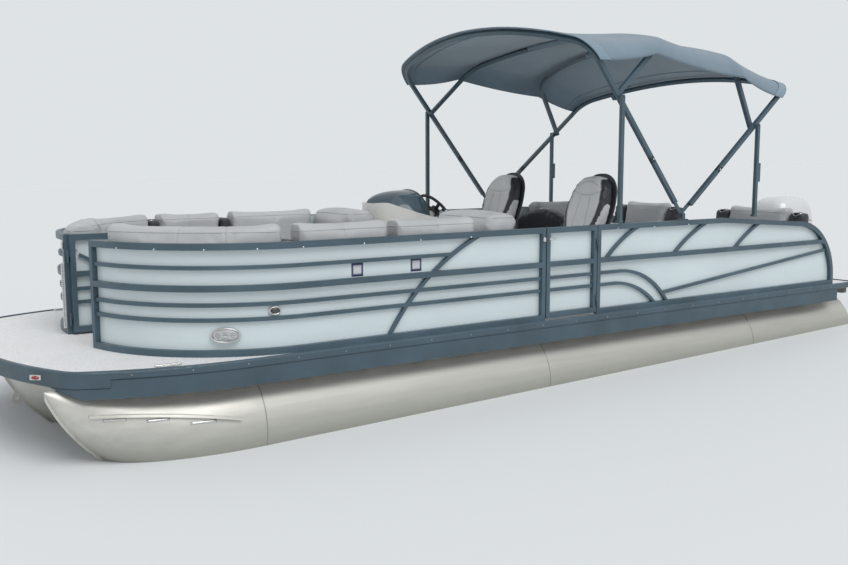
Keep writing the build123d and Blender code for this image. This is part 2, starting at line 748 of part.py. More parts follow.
def stern_panel(y0, y1, hinge_side):
    """Frame and skin of a fixed stern panel; the skin stays clear of a hinge at y1 if there is one."""
    x0, x1 = STERN_FENCE_X - HALF_TUBE, STERN_FENCE_X + HALF_TUBE
    frame = (box(x0, x1, y0, y1, DECK_TOP, STERN_FENCE_TOP)
             - box(x0, x1, y0 + TUBE_WIDE, y1 - TUBE_WIDE, DECK_TOP + RAIL_HIGH, STERN_FENCE_TOP - RAIL_HIGH))
    frame += box(x0, x1, y0, y1, STERN_MID_Z - HALF_THIN, STERN_MID_Z + HALF_THIN)
    skin_x = x1 + SEAT_GAP
    clear = HINGE_REACH + HINGE_TAB if hinge_side else SKIN_EDGE
    skin = box(skin_x, skin_x + SKIN, y0 + SKIN_EDGE, y1 - clear, DECK_TOP + SKIN_EDGE, STERN_FENCE_TOP - SKIN_EDGE)
    return frame, skin


def leaf_frame(length, top):
    """Gate leaf along +X from the origin, outer face towards +Y at half the tube's width."""
    low = DECK_TOP + GATE_LIFT
    frame = (box(0, length, -HALF_TUBE, HALF_TUBE, low, top)
             - box(TUBE_WIDE, length - TUBE_WIDE, -HALF_TUBE, HALF_TUBE, low + RAIL_HIGH, top - RAIL_HIGH))
    if top <= RAIL_TOP:
        return frame + box(0, length, -HALF_TUBE, HALF_TUBE, STERN_MID_Z - HALF_THIN, STERN_MID_Z + HALF_THIN)
    frame += box(0, length, -HALF_TUBE, HALF_TUBE, THICK_Z - HALF_THICK, THICK_Z + HALF_THICK)
    for z in THIN_Z[1:]:
        frame += box(0, length, -HALF_TUBE, -HALF_TUBE + THIN_DEEP, z - HALF_THIN, z + HALF_THIN)
    return frame


def leaf_skin(length, top):
    y1 = -HALF_TUBE - SEAT_GAP
    return box(HINGE_REACH, length - SKIN_EDGE, y1 - SKIN, y1, DECK_TOP + GATE_LIFT + SKIN_EDGE, top - SKIN_EDGE)


def bow_gate():
    """Bow gate's leaf, stored along the boat, with its short slanted bar and drop bar."""
    axis_x, y = BOW_GATE_AXIS
    place = Pos(axis_x - BOW_GATE_START - BOW_GATE_LONG, y, 0)
    y0 = y - HALF_TUBE
    (head, head_z), (foot, foot_z) = BOW_GATE_BAR
    bar = side_bar((axis_x - head, head_z), (axis_x - foot, foot_z), THIN_HIGH, y0, y0 + THIN_DEEP)
    drop = box(axis_x - foot - HALF_THIN, axis_x - foot + HALF_THIN, y0, y0 + THIN_DEEP,
               DECK_TOP + GATE_LIFT + HALF_RAIL, foot_z + HALF_THIN)
    leaf = place * leaf_frame(BOW_GATE_LONG, FENCE_TOP)
    return fuse([leaf, bar, drop]), place * leaf_skin(BOW_GATE_LONG, FENCE_TOP)


def fence_parts():
    """Frames and skins of the fence and its three gates."""
    port_end = PORT_END_S + HALF_TUBE
    starboard_end = STARBOARD_END_S + HALF_TUBE
    fore_s, aft_s = GATE_FORE_X + GATE_GAP / 2, GATE_AFT_X + GATE_GAP / 2
    half_tab = HINGE_TAB / 2
    face = -BARREL_R - half_tab

    side_fixed, side_moving = hinges(SIDE_GATE_AXIS, HINGE_Z, (-HINGE_REACH, 0, face, half_tab),
                                     (0, HINGE_REACH, face, half_tab))
    side_long = GATE_FORE_X - GATE_GAP - aft_s
    place = Pos(aft_s, FENCE_Y, 0)

    post_y = HALF_TUBE - BOW_GATE_OFFSET
    bow_fixed, bow_moving = hinges(BOW_GATE_AXIS, HINGE_Z, (-half_tab, half_tab, post_y - half_tab, 0),
                                   (-BOW_GATE_START - half_tab, 0, -half_tab, half_tab))
    bow_leaf, bow_leaf_skin = bow_gate()

    stern_fixed, stern_moving = hinges(STERN_GATE_AXIS, STERN_HINGE_Z, (face, half_tab, -HINGE_REACH, 0),
                                       (face, half_tab, 0, HINGE_REACH))
    open_y0, open_y1 = STERN_OPEN_Y
    stern_long = open_y1 - open_y0 - 2 * GATE_GAP
    turn = Pos(STERN_FENCE_X, open_y0 + GATE_GAP, 0) * Rot(0, 0, 90)
    port_panel, port_panel_skin = stern_panel(open_y1, STERN_FENCE_Y, False)
    star_panel, star_panel_skin = stern_panel(-STERN_FENCE_Y, open_y0, True)
    return {
        "fence_frame_port": [bow_frame(fore_s, port_end), fuse([aft_frame()] + side_fixed)],
        "fence_skin_port": [bow_skin(fore_s, port_end), aft_skin()],
        "fence_frame_starboard": [fuse([mirrored(bow_frame(aft_s, starboard_end))] + bow_fixed),
                                  mirrored(aft_frame())],
        "fence_skin_starboard": [mirrored(bow_skin(aft_s, starboard_end)), mirrored(aft_skin())],
        "fence_frame_stern": [port_panel, fuse([star_panel] + stern_fixed)],
        "fence_skin_stern": [port_panel_skin, star_panel_skin],
        "side_gate_frame": [fuse([place * leaf_frame(side_long, FENCE_TOP)] + side_moving)],
        "side_gate_skin": [place * leaf_skin(side_long, FENCE_TOP)],
        "bow_gate_frame": [fuse([bow_leaf] + bow_moving)],
        "bow_gate_skin": [bow_leaf_skin],
        "stern_gate_frame": [fuse([turn * leaf_frame(stern_long, STERN_FENCE_TOP)] + stern_moving)],
        "stern_gate_skin": [turn * leaf_skin(stern_long, STERN_FENCE_TOP)],
    }


def lounge_plan(regions, d, z0, z1):
    """Prism over plan boxes (x0, x1, y0, y1), trimmed to the fence line moved by d."""
    body = fuse([box(x0, x1, y0, y1, z0, z1) for x0, x1, y0, y1 in regions])
    return body & inside_fence(d, z0 - 1, z1 + 1)


def lounge(regions, base_regions, backs, back_top, chaise_x, chaise_top):
    """Base, cushions and charcoal arms of a bow lounge, drawn on the port side."""
    base = lounge_plan(base_regions, -BACK_GAP, SEAT_FLOOR, SEAT_BASE_TOP)
    back_front = -BACK_GAP - BACK_THICK
    whole = soft_top(strip(0, ARC_END + CORNER_R, back_front, -BACK_GAP, SEAT_Z, back_top), BACK_ROUND)
    cushions = []
    arms = []
    for s0, s1, is_arm in backs:
        if is_arm:
            arms.append(strip(s0, s1, back_front, -BACK_GAP, SEAT_Z, ARM_TOP))
        else:
            cushions.append(whole & strip(s0, s1, back_front - 1, 1 - BACK_GAP, SEAT_FLOOR, back_top + 1))
    x0, x1 = chaise_x
    rake = (x1 - x0) / 4
    profile = [(x0, SEAT_Z), (x1, SEAT_Z), (x1 - rake, chaise_top), (x0, chaise_top)]
    cushions.append(side_pad(profile, LOUNGE_EDGE_Y, SEAT_BACK_Y, BACK_ROUND + SEAT_ROUND))
    seat = lounge_plan(regions, back_front - CUSHION_SPLIT, SEAT_Z, CUSHION_TOP)
    cushions.append(soft_top(seat, SEAT_ROUND))
    return base, cushions, arms


def bow_lounges():
    """Port and starboard bow lounges."""
    reach = CORNER_X + CORNER_R
    inner = LOUNGE_EDGE_Y
    cut = BASE_GAP
    start, short = PORT_FIRST_BACK
    port_backs = ((start, PORT_END_S - short, False),) + PORT_BACKS
    start, short = STARBOARD_FIRST_BACK
    starboard_backs = ((start, STARBOARD_END_S - short, False),) + STARBOARD_BACKS
    x0, x1 = PORT_CHAISE_X
    port = lounge([(x1 + CUSHION_SPLIT, reach, inner, FENCE_Y)], [(x0, reach, inner + cut, FENCE_Y)],
                  port_backs, BACK_TOP, PORT_CHAISE_X, PORT_CHAISE_TOP)
    x0, x1 = STARBOARD_CHAISE_X
    front_x, front_y = STARBOARD_FRONT
    starboard = lounge([(x1 + CUSHION_SPLIT, reach, inner, FENCE_Y), (front_x, reach, front_y, inner + 1)],
                       [(x0, reach, inner + cut, FENCE_Y), (front_x + cut, reach, front_y + cut, inner + cut + 1)],
                       starboard_backs, STARBOARD_BACK_TOP, STARBOARD_CHAISE_X, STARBOARD_CHAISE_TOP)
    return port, starboard


def aft_bench(y0, y1):
    """Base, seat and back of an aft bench, and its two charcoal ends."""
    back_x0, back_x1 = AFT_BACK_X
    base = box(back_x0, AFT_SEAT_X - BASE_GAP, y0, y1, SEAT_FLOOR, SEAT_BASE_TOP)
    seat = soft_top(box(back_x1 + CUSHION_SPLIT, AFT_SEAT_X, y0, y1, SEAT_Z, CUSHION_TOP), SEAT_ROUND)
    pads = []
    for a, b, top in ((y0, y0 + AFT_ARM_WIDE, AFT_ARM_TOP), (y0 + AFT_ARM_WIDE, y1 - AFT_ARM_WIDE, AFT_BACK_TOP),
                      (y1 - AFT_ARM_WIDE, y1, AFT_ARM_TOP)):
        profile = [(back_x0, SEAT_Z), (back_x1, SEAT_Z), (back_x1, SEAT_Z + AFT_BACK_KNEE),
                   (back_x1 - AFT_BACK_LEAN, top), (back_x0, top)]
        pads.append(side_pad(profile, a + CUSHION_SPLIT / 2, b - CUSHION_SPLIT / 2, AFT_BACK_ROUND))
    return base, [seat, pads[1]], [pads[0], pads[2]]


def side_lounge():
    """Base, cushions and domed charcoal end of the starboard side lounge."""
    x0, x1 = SIDE_LOUNGE_X
    back = -SEAT_BACK_Y
    y_in = SIDE_LOUNGE_DEPTH - FENCE_Y
    front = back + BACK_THICK
    end_x = x1 - SIDE_END_THICK
    base = box(x0, x1 - BASE_GAP, back, y_in - BASE_GAP, SEAT_FLOOR, SEAT_BASE_TOP)
    rest = box(x0, end_x - CUSHION_SPLIT, back, front, SEAT_Z, SIDE_BACK_TOP)
    seat = box(x0, end_x - CUSHION_SPLIT, front + CUSHION_SPLIT, y_in, SEAT_Z, CUSHION_TOP)
    end_y = SIDE_END_IN - FENCE_Y
    dome = [Line((back, SEAT_Z), (end_y, SEAT_Z)).edge(),
            Line((end_y, SEAT_Z), (end_y, SIDE_END_LOW)).edge(),
            ThreePointArc((end_y, SIDE_END_LOW), ((back + end_y) / 2, SIDE_END_TOP), (back, SIDE_END_LOW)).edge(),
            Line((back, SIDE_END_LOW), (back, SEAT_Z)).edge()]
    end = extrude(Plane(origin=(end_x, 0, 0), x_dir=(0, 1, 0), z_dir=(1, 0, 0)) * make_face(dome),
                  amount=SIDE_END_THICK)
    return base, [soft_top(rest, BACK_ROUND), soft_top(seat, SEAT_ROUND)], end


def aft_seats():
    """Bases, cushions and charcoal ends of the aft seats."""
    bases, cushions, ends = [], [], []
    for y0, y1 in ((PORT_SEAT_IN_Y, STERN_FENCE_Y), (-SEAT_BACK_Y, STARBOARD_SEAT_IN_Y)):
        base, pads, arms = aft_bench(y0, y1)
        bases.append(base)
        cushions += pads
        ends += arms
    base, pads, end = side_lounge()
    return bases + [base], cushions + pads, ends + [end]


def console_plan(inset):
    """Plan of the console: straight sides and a bowed front."""
    y0, y1 = CONSOLE_Y
    x0, x1 = CONSOLE_X
    aft, front, shoulder = x0 - inset, x1 - inset, CONSOLE_SHOULDER_X
    low, high = y0 + inset, y1 - inset
    edges = [Line((aft, low), (shoulder, low)).edge(),
             ThreePointArc((shoulder, low), (front, (y0 + y1) / 2), (shoulder, high)).edge(),
             Line((shoulder, high), (aft, high)).edge(),
             Line((aft, high), (aft, low)).edge()]
    return make_face(edges)


def console_top(x):
    """Height of the console's top on the arc that climbs from the dash to the crest."""
    centre, radius = circle_through((CONSOLE_X[0], CONSOLE_AFT_TOP), CONSOLE_WAIST, CONSOLE_CREST)
    return centre[1] - math.sqrt(radius ** 2 - (x - centre[0]) ** 2)


def top_edges(start_x, drop):
    """Edges along the console's top from start_x to its front, lowered by drop."""
    crest_x, crest_z = CONSOLE_CREST
    mid_x = (start_x + crest_x) / 2
    front = (CONSOLE_X[1] + 1, CONSOLE_FRONT_TOP - drop)
    return [ThreePointArc((start_x, console_top(start_x) - drop), (mid_x, console_top(mid_x) - drop),
                          (crest_x, crest_z - drop)).edge(),
            Line((crest_x, crest_z - drop), front).edge()]


def console():
    """Hollow helm console with a climbing top and a recessed dash."""
    y0, y1 = CONSOLE_Y
    x0, x1 = CONSOLE_X
    wall = CONSOLE_WALL
    low = SEAT_FLOOR - 1
    high = CONSOLE_CREST[1] + TUBE_WIDE
    aft_z = console_top(x0)
    under_top = top_edges(x0, 0) + [Line((x1 + 1, CONSOLE_FRONT_TOP), (x1 + 1, low)).edge(),
                                    Line((x1 + 1, low), (x0, low)).edge(), Line((x0, low), (x0, aft_z)).edge()]
    body = Pos(0, 0, SEAT_FLOOR) * extrude(console_plan(0), amount=high - SEAT_FLOOR)
    body &= side_view(under_top, y0, y1)
    foot, head = DASH
    body -= side_poly([(x0 - 1, foot[1]), foot, head, (head[0], high), (x0 - 1, high)], y0 + DASH_SIDE, y1 - DASH_SIDE)
    run = math.dist(head, foot)
    back = wall * run / (head[1] - foot[1])
    start = head[0] + back
    inside = top_edges(start, 2 * wall)
    outline = inside + [Line((x1 + 1, CONSOLE_FRONT_TOP - 2 * wall), (x1 + 1, low)).edge(),
                        Line((x1 + 1, low), (x0 + wall, low)).edge(),
                        Line((x0 + wall, low), (x0 + wall, foot[1] - wall)).edge(),
                        Line((x0 + wall, foot[1] - wall), (foot[0] + back, foot[1] - wall)).edge(),
                        Line((foot[0] + back, foot[1] - wall), (start, console_top(start) - 2 * wall)).edge()]
    room = Pos(0, 0, low) * extrude(console_plan(wall), amount=high)
    return body - (side_view(outline, y0 + wall, y1 - wall) & room)


def screen_face(x, half, top):
    """Upper half of an ellipse across the console at x."""
    plane = Plane(origin=(x, sum(CONSOLE_Y) / 2, SCREEN_FOOT), x_dir=(0, 1, 0), z_dir=(1, 0, 0))
    high = top - SCREEN_FOOT
    return plane * (Ellipse(half, high) & Pos(0, high / 2) * Rectangle(2 * half, high))


def windscreen():
    """Smoked bubble that sits on the console's top and opens aft."""
    outer = loft([screen_face(*row) for row in SCREEN_ROWS])
    thick = SCREEN_THICK
    rows = [(x, half - thick, top - thick) for x, half, top in SCREEN_ROWS]
    first, last = rows[0], rows[-1]
    rows[0] = (first[0] - 1, first[1], first[2])
    rows[-1] = (last[0] - thick, last[1], last[2])
    inner = loft([screen_face(*row) for row in rows])
    x0, x1 = SCREEN_ROWS[0][0] - 1, CONSOLE_X[1] + 1
    high = SCREEN_ROWS[0][2] + 1
    above = top_edges(x0, -SEAT_GAP)
    above += [Line((x1, CONSOLE_FRONT_TOP + SEAT_GAP), (x1, high)).edge(), Line((x1, high), (x0, high)).edge(),
              Line((x0, high), (x0, console_top(x0) + SEAT_GAP)).edge()]
    return (outer - inner) & side_view(above, *CONSOLE_Y)


def dash_normal():
    """Unit vector out of the dash towards the helm, in X and Z."""
    foot, head = DASH
    length = math.dist(foot, head)
    return ((foot[1] - head[1]) / length, (head[0] - foot[0]) / length)


def steering_wheel():
    """Wheel with three spokes, square to its column."""
    nx, nz = dash_normal()
    plane = Plane(origin=(WHEEL_X, HELM_Y, WHEEL_Z), x_dir=(0, 1, 0), z_dir=(nx, 0, nz))
    wheel = plane * Torus(WHEEL_R, WHEEL_GRIP_R)
    wheel += plane * (Pos(0, 0, -WHEEL_HUB_SINK) * Cylinder(WHEEL_HUB_R, WHEEL_HUB_LONG))
    for angle in WHEEL_SPOKES:
        spoke = Pos(WHEEL_R / 2, 0, 0) * Box(WHEEL_R - WHEEL_GRIP_R / 2, SPOKE_WIDE, SPOKE_THICK)
        wheel += plane * Rot(0, 0, angle) * spoke
    return wheel


def wheel_column():
    """Column from behind the wheel's hub into the dash."""
    nx, nz = dash_normal()
    head = DASH[1]
    depth = (WHEEL_X - head[0]) * nx + (WHEEL_Z - head[1]) * nz + CONSOLE_WALL / 2
    start = WHEEL_HUB_SINK + WHEEL_HUB_LONG / 2 + SEAT_GAP
    return rod((WHEEL_X - nx * depth, HELM_Y, WHEEL_Z - nz * depth),
               (WHEEL_X - nx * start, HELM_Y, WHEEL_Z - nz * start), COLUMN_R)


def pedestal(x, y):
    """Chair post with a flared foot."""
    foot = Pos(x, y, SEAT_FLOOR + PEDESTAL_FOOT_HIGH / 2) * Cylinder(PEDESTAL_FOOT_R, PEDESTAL_FOOT_HIGH)
    flare_z = SEAT_FLOOR + PEDESTAL_FOOT_HIGH + PEDESTAL_FLARE_HIGH / 2
    flare = Pos(x, y, flare_z) * Cone(PEDESTAL_FLARE_R, PEDESTAL_R, PEDESTAL_FLARE_HIGH)
    post_long = PEDESTAL_TOP - SEAT_FLOOR
    return foot + flare + Pos(x, y, SEAT_FLOOR + post_long / 2) * Cylinder(PEDESTAL_R, post_long)


def reclined(x_front, thick, z0, z1):
    """Slab that leans back; x_front is its front face at the height of the seat."""
    slope = math.tan(math.radians(CHAIR_RECLINE))
    a, b = x_front - (z0 - CHAIR_SEAT_TOP) * slope, x_front - (z1 - CHAIR_SEAT_TOP) * slope
    return side_poly([(a, z0), (b, z1), (b - thick, z1), (a - thick, z0)], -CHAIR_HALF, CHAIR_HALF)


def shield(grow):
    """Front view of the chair's back, wider at the shoulders, extruded along X."""
    foot, waist, shoulder, neck = ((half + grow, z) for half, z in (SHIELD_FOOT, SHIELD_WAIST, SHIELD_SHOULDER,
                                                                    SHIELD_NECK))
    top = (0, CHAIR_TOP + grow)
    foot_z = PEDESTAL_TOP
    left = [(-half, z) for half, z in (foot, waist, shoulder, neck)]
    edges = [Line((-foot[0], foot_z), (foot[0], foot_z)).edge(), Line((foot[0], foot_z), foot).edge(),
             ThreePointArc(foot, waist, shoulder).edge(), ThreePointArc(shoulder, neck, top).edge(),
             ThreePointArc(top, left[3], left[2]).edge(), ThreePointArc(left[2], left[1], left[0]).edge(),
             Line(left[0], (-foot[0], foot_z)).edge()]
    plane = Plane(origin=(-2 * CHAIR_HALF, 0, 0), x_dir=(0, 1, 0), z_dir=(1, 0, 0))
    return extrude(plane * make_face(edges), amount=4 * CHAIR_HALF)


def chair_shell():
    """Moulded pan, back shell and side wings of a chair."""
    z0 = PEDESTAL_TOP + SEAT_GAP
    x0, x1 = CHAIR_PAN_X
    pan = box(x0, x1, -CHAIR_HALF, CHAIR_HALF, z0, z0 + CHAIR_PAN)
    back_x = CHAIR_BACK_X - CHAIR_BACK_THICK - SEAT_GAP
    back = reclined(back_x, CHAIR_SHELL, z0, CHAIR_TOP + CHAIR_SHELL) & shield(CHAIR_SHELL / 2)
    outline = [Line((x0, z0), (x1, z0)).edge(), Line((x1, z0), WING_FRONT).edge(),
               Line(WING_FRONT, WING_TOP).edge(), ThreePointArc(WING_TOP, WING_MID, WING_REAR).edge(),
               Line(WING_REAR, (x0, z0)).edge()]
    shell = pan + back
    for y in (-CHAIR_HALF, CHAIR_HALF - CHAIR_WALL):
        shell += side_view(outline, y, y + CHAIR_WALL)
    return shell


def chair_cushions():
    """Seat with rounded corners and a shield-shaped back."""
    x0, x1 = CHAIR_SEAT_X
    half = CHAIR_HALF - CHAIR_WALL - SEAT_GAP
    z0 = PEDESTAL_TOP + CHAIR_PAN + 2 * SEAT_GAP
    plan = Pos((x0 + x1) / 2, 0, z0) * RectangleRounded(x1 - x0, 2 * half, CHAIR_SEAT_ROUND)
    seat = soft_top(extrude(plan, amount=CHAIR_SEAT_TOP - z0), SEAT_ROUND)
    back = reclined(CHAIR_BACK_X, CHAIR_BACK_THICK, SHIELD_FOOT[1], CHAIR_TOP) & shield(0)
    return [seat, back]


def heading(start, end):
    return math.atan2(end[1] - start[1], end[0] - start[0])


def bow_plane(start, end):
    """Plane of a bimini bow: its X is the boat's Y and its Y runs up the legs."""
    angle = heading(start, end)
    return Plane(origin=(start[0], 0, start[1]), x_dir=(0, 1, 0), z_dir=(math.sin(angle), 0, -math.cos(angle)))


def bow_face(half, foot, shoulder, crown, radius, grow):
    """Face under a bow whose centre line grows outwards by the amount given."""
    arc_r = (half ** 2 + crown ** 2) / (2 * crown)
    centre = shoulder + crown - arc_r
    wide = half + grow
    top = arc_r + grow
    corner = centre + math.sqrt(top ** 2 - wide ** 2)
    edges = [Line((-wide, foot), (-wide, corner)).edge(),
             ThreePointArc((-wide, corner), (0, centre + top), (wide, corner)).edge(),
             Line((wide, corner), (wide, foot)).edge(),
             Line((wide, foot), (-wide, foot)).edge()]
    face = make_face(edges)
    turns = [v for v in face.vertices() if abs(v.Y - corner) < 0.1]
    return fillet(turns, radius + grow)


def bow(start, end, rise, half, foot):
    """Bimini bow of square tube: two legs and a crowned top, in a sloped plane."""
    plane = bow_plane(start, end)
    shoulder = math.dist(start, end) + rise
    outer = bow_face(half, foot, shoulder, CROWN, BOW_BEND_R, HALF_BOW)
    inner = bow_face(half, foot - 10, shoulder, CROWN, BOW_BEND_R, -HALF_BOW)
    return extrude(plane * (outer - inner), amount=HALF_BOW, both=True)


def eye(at, y0, y1, radius, bore):
    """Round eye across Y with a bore for a pin."""
    ring = rod((at[0], y0, at[1]), (at[0], y1, at[1]), radius)
    return ring - rod((at[0], y0 - 1, at[1]), (at[0], y1 + 1, at[1]), bore)


def eye_leg(start, end, reach, y0, y1):
    """Flat plate from a pivot eye to the foot of a leg, on both sides of the boat."""
    length = math.dist(start, end)
    ux, uz = (end[0] - start[0]) / length, (end[1] - start[1]) / length
    far = (start[0] + ux * reach, start[1] + uz * reach)
    plate = side_bar(start, far, 2 * EYE_R - 6, y0, y1) + eye(start, y0, y1, EYE_R, PIN_R)
    return plate - rod((start[0], y0 - 1, start[1]), (start[0], y1 + 1, start[1]), PIN_R + PIN_CLEAR)


def both_sides(shape):
    return [shape, mirrored(shape)]


def cross_pin(at, y0, y1):
    return rod((at[0], y0, at[1]), (at[0], y1, at[1]), PIN_R)


def strut(top, y, foot_z, light_box):
    """Upright from a bow's crossing down to the rail, with an eye at the top."""
    x, z = top
    foot_long, foot_high = STRUT_FOOT
    leg = box(x - HALF_STRUT, x + HALF_STRUT, y - HALF_STRUT, y + HALF_STRUT, foot_z, z)
    leg += rod((x, y - HALF_STRUT, z), (x, y + HALF_STRUT, z), HALF_STRUT)
    leg += box(x - foot_long / 2, x + foot_long / 2, y - HALF_STRUT - PIN_R, y + HALF_STRUT, foot_z,
               foot_z + foot_high)
    if light_box:
        leg += box(x - HALF_STRUT - LIGHT_BOX_DEEP, x, y - HALF_STRUT, y + HALF_STRUT, *LIGHT_BOX_Z)
    return leg - rod((x, y - STRUT_TUBE, z), (x, y + STRUT_TUBE, z), PIN_R + PIN_CLEAR)


def bimini_mount(rail):
    """Rail mount with its lug and the pivot pin of both main bows."""
    px, pz = PIVOT
    y_out = MAIN_Y + HALF_BOW + PIN_LUG
    half_lug = HALF_BOW - 1
    plate = box(px - MOUNT_LONG / 2, px + MOUNT_LONG / 2, MAIN_Y - PIN_LUG / 2, y_out, rail, rail + MOUNT_THICK)
    lug = (box(px - half_lug, px + half_lug, y_out - PIN_LUG, y_out, rail, pz)
           + rod((px, y_out - PIN_LUG, pz), (px, y_out, pz), half_lug))
    return plate + lug + cross_pin(PIVOT, REAR_EYE_Y[0] - PIN_OVER, y_out - 1)


def bimini():
    """Mounts, bows and struts of the bimini top."""
    rail = FENCE_TOP + SEAT_GAP
    pin_in, pin_out = INNER_Y - HALF_BOW - PIN_OVER, STRUT_Y + HALF_STRUT + PIN_OVER
    bows = {}
    for name, corner, crossing, eyes in (("front", FRONT_CORNER, FRONT_CROSS, FRONT_EYE_Y),
                                         ("rear", REAR_CORNER, REAR_CROSS, REAR_EYE_Y)):
        body = bow(PIVOT, corner, BOW_RISE, MAIN_Y, LEG_START)
        for part in (eye_leg(PIVOT, corner, LEG_START + EYE_R, *eyes), cross_pin(crossing, pin_in, pin_out)):
            body = fuse([body] + both_sides(part))
        bows[name] = body
    for name, start, corner, rise in (("front_mid", FRONT_CROSS, FRONT_MID_CORNER, BOW_RISE),
                                      ("rear_mid", REAR_CROSS, REAR_MID_CORNER, REAR_MID_RISE)):
        body = bow(start, corner, rise, INNER_Y, -HALF_BOW)
        for bore in both_sides(rod((start[0], INNER_Y - BOW_TUBE, start[1]), (start[0], INNER_Y + BOW_TUBE, start[1]),
                                   PIN_R + PIN_CLEAR)):
            body -= bore
        bows[name] = body
    front = strut(FRONT_CROSS, STRUT_Y, rail + MOUNT_THICK, False)
    rear = strut(REAR_CROSS, STRUT_Y, rail, True)
    return both_sides(bimini_mount(rail)), bows, both_sides(front), both_sides(rear)


def canopy_lift(i, tops):
    """How far the fabric stands above a bow so that it clears the square tube's edges."""
    (x, z), angle = tops[i]
    lift = 0
    for j in (i - 1, i + 1):
        if not 0 <= j < len(tops):
            continue
        (nx, nz), _ = tops[j]
        length = math.hypot(nx - x, nz - z)
        tx, tz = (nx - x) / length, (nz - z) / length
        mx, mz = -tz, tx
        if mz < 0:
            mx, mz = -mx, -mz
        for sign in (-1, 1):
            cx, cz = sign * HALF_BOW * math.sin(angle), -sign * HALF_BOW * math.cos(angle)
            rise = (cx * mx + cz * mz + SEAT_GAP) / (math.cos(angle) * mx + math.sin(angle) * mz)
            lift = max(lift, rise)
    return lift


def canopy():
    """Fabric sheet over the four bows."""
    rows = ((PIVOT, FRONT_CORNER, BOW_RISE), (FRONT_CROSS, FRONT_MID_CORNER, BOW_RISE),
            (REAR_CROSS, REAR_MID_CORNER, REAR_MID_RISE), (PIVOT, REAR_CORNER, BOW_RISE))
    tops = []
    for start, end, rise in rows:
        angle = heading(start, end)
        reach = math.dist(start, end) + rise + CROWN + HALF_BOW
        tops.append(((start[0] + reach * math.cos(angle), start[1] + reach * math.sin(angle)), angle))
    sections = []
    for i, (start, end, rise) in enumerate(rows):
        gap = HALF_BOW + canopy_lift(i, tops)
        shoulder = math.dist(start, end) + rise
        foot = shoulder - 2 * BOW_BEND_R
        outer = bow_face(MAIN_Y, foot, shoulder, CROWN, BOW_BEND_R, gap + CANOPY_THICK)
        inner = bow_face(MAIN_Y, foot, shoulder, CROWN, BOW_BEND_R, gap)
        keep = Pos(0, shoulder - CANOPY_DROP + MAIN_Y) * Rectangle(4 * MAIN_Y, 2 * MAIN_Y)
        ribbon = (outer - inner) & keep
        shift = (0, 0)
        if i in (0, len(rows) - 1):
            (ax, az), (bx, bz) = tops[i][0], tops[1 if i == 0 else i - 1][0]
            length = math.hypot(ax - bx, az - bz)
            shift = ((ax - bx) / length * CANOPY_EDGE, (az - bz) / length * CANOPY_EDGE)
        sections.append(Pos(shift[0], 0, shift[1]) * (bow_plane(start, end) * ribbon))
    return loft([section.faces()[0] for section in sections], ruled=True)


def clamp_bracket():
    """Two clamp plates on the transom joined by the tilt tube."""
    tx, tz = TILT_AXIS
    face = TRANSOM_X - SEAT_GAP
    top = TRANSOM_TOP + SEAT_GAP
    hook_x = TRANSOM_X + 60
    outline = [(face, CLAMP_LOW), (face, top), (hook_x, top), (hook_x, tz), (tx + 2 * TILT_TUBE_R, tz + 30),
               (tx - 30, tz + 20), (tx - 30, tz - 60), (face - 25, CLAMP_LOW)]
    inner, outer = CLAMP_Y
    bracket = rod((tx, -outer, tz), (tx, outer, tz), TILT_TUBE_R)
    for y0, y1 in ((inner, outer), (-outer, -inner)):
        bracket += side_poly(outline, y0, y1)
    return bracket + box(face - 25, face, -inner, inner, 40, 120)


def swivel_bracket():
    """Swivel housing that hangs on the tilt tube and carries the steering shaft."""
    tx, tz = TILT_AXIS
    low, high = SWIVEL_Z
    half = SWIVEL_HALF
    body = rod((SWIVEL_X, 0, low), (SWIVEL_X, 0, high), SWIVEL_R)
    body += side_poly([(SWIVEL_X, 60), (SWIVEL_X + 40, 60), (tx + 30, tz - 60), (tx + 30, tz + 30),
                       (SWIVEL_X, tz + 30)], -half, half)
    body -= rod((tx, -half - 1, tz), (tx, half + 1, tz), TILT_TUBE_R + SEAT_GAP)
    return body - rod((SWIVEL_X, 0, low - 1), (SWIVEL_X, 0, high + 1), SHAFT_R + SEAT_GAP)


def leg_section(z, front, back, half):
    """Streamlined section: round nose, full shoulders and a narrow tail."""
    nose_x = front - half
    tail = half / 6
    mid_x = (nose_x + back) / 2
    edges = [ThreePointArc((nose_x, half), (front, 0), (nose_x, -half)).edge(),
             ThreePointArc((nose_x, -half), (mid_x, -0.85 * half), (back, -tail)).edge(),
             Line((back, -tail), (back, tail)).edge(),
             ThreePointArc((back, tail), (mid_x, 0.85 * half), (nose_x, half)).edge()]
    return Pos(0, 0, z) * make_face(edges)


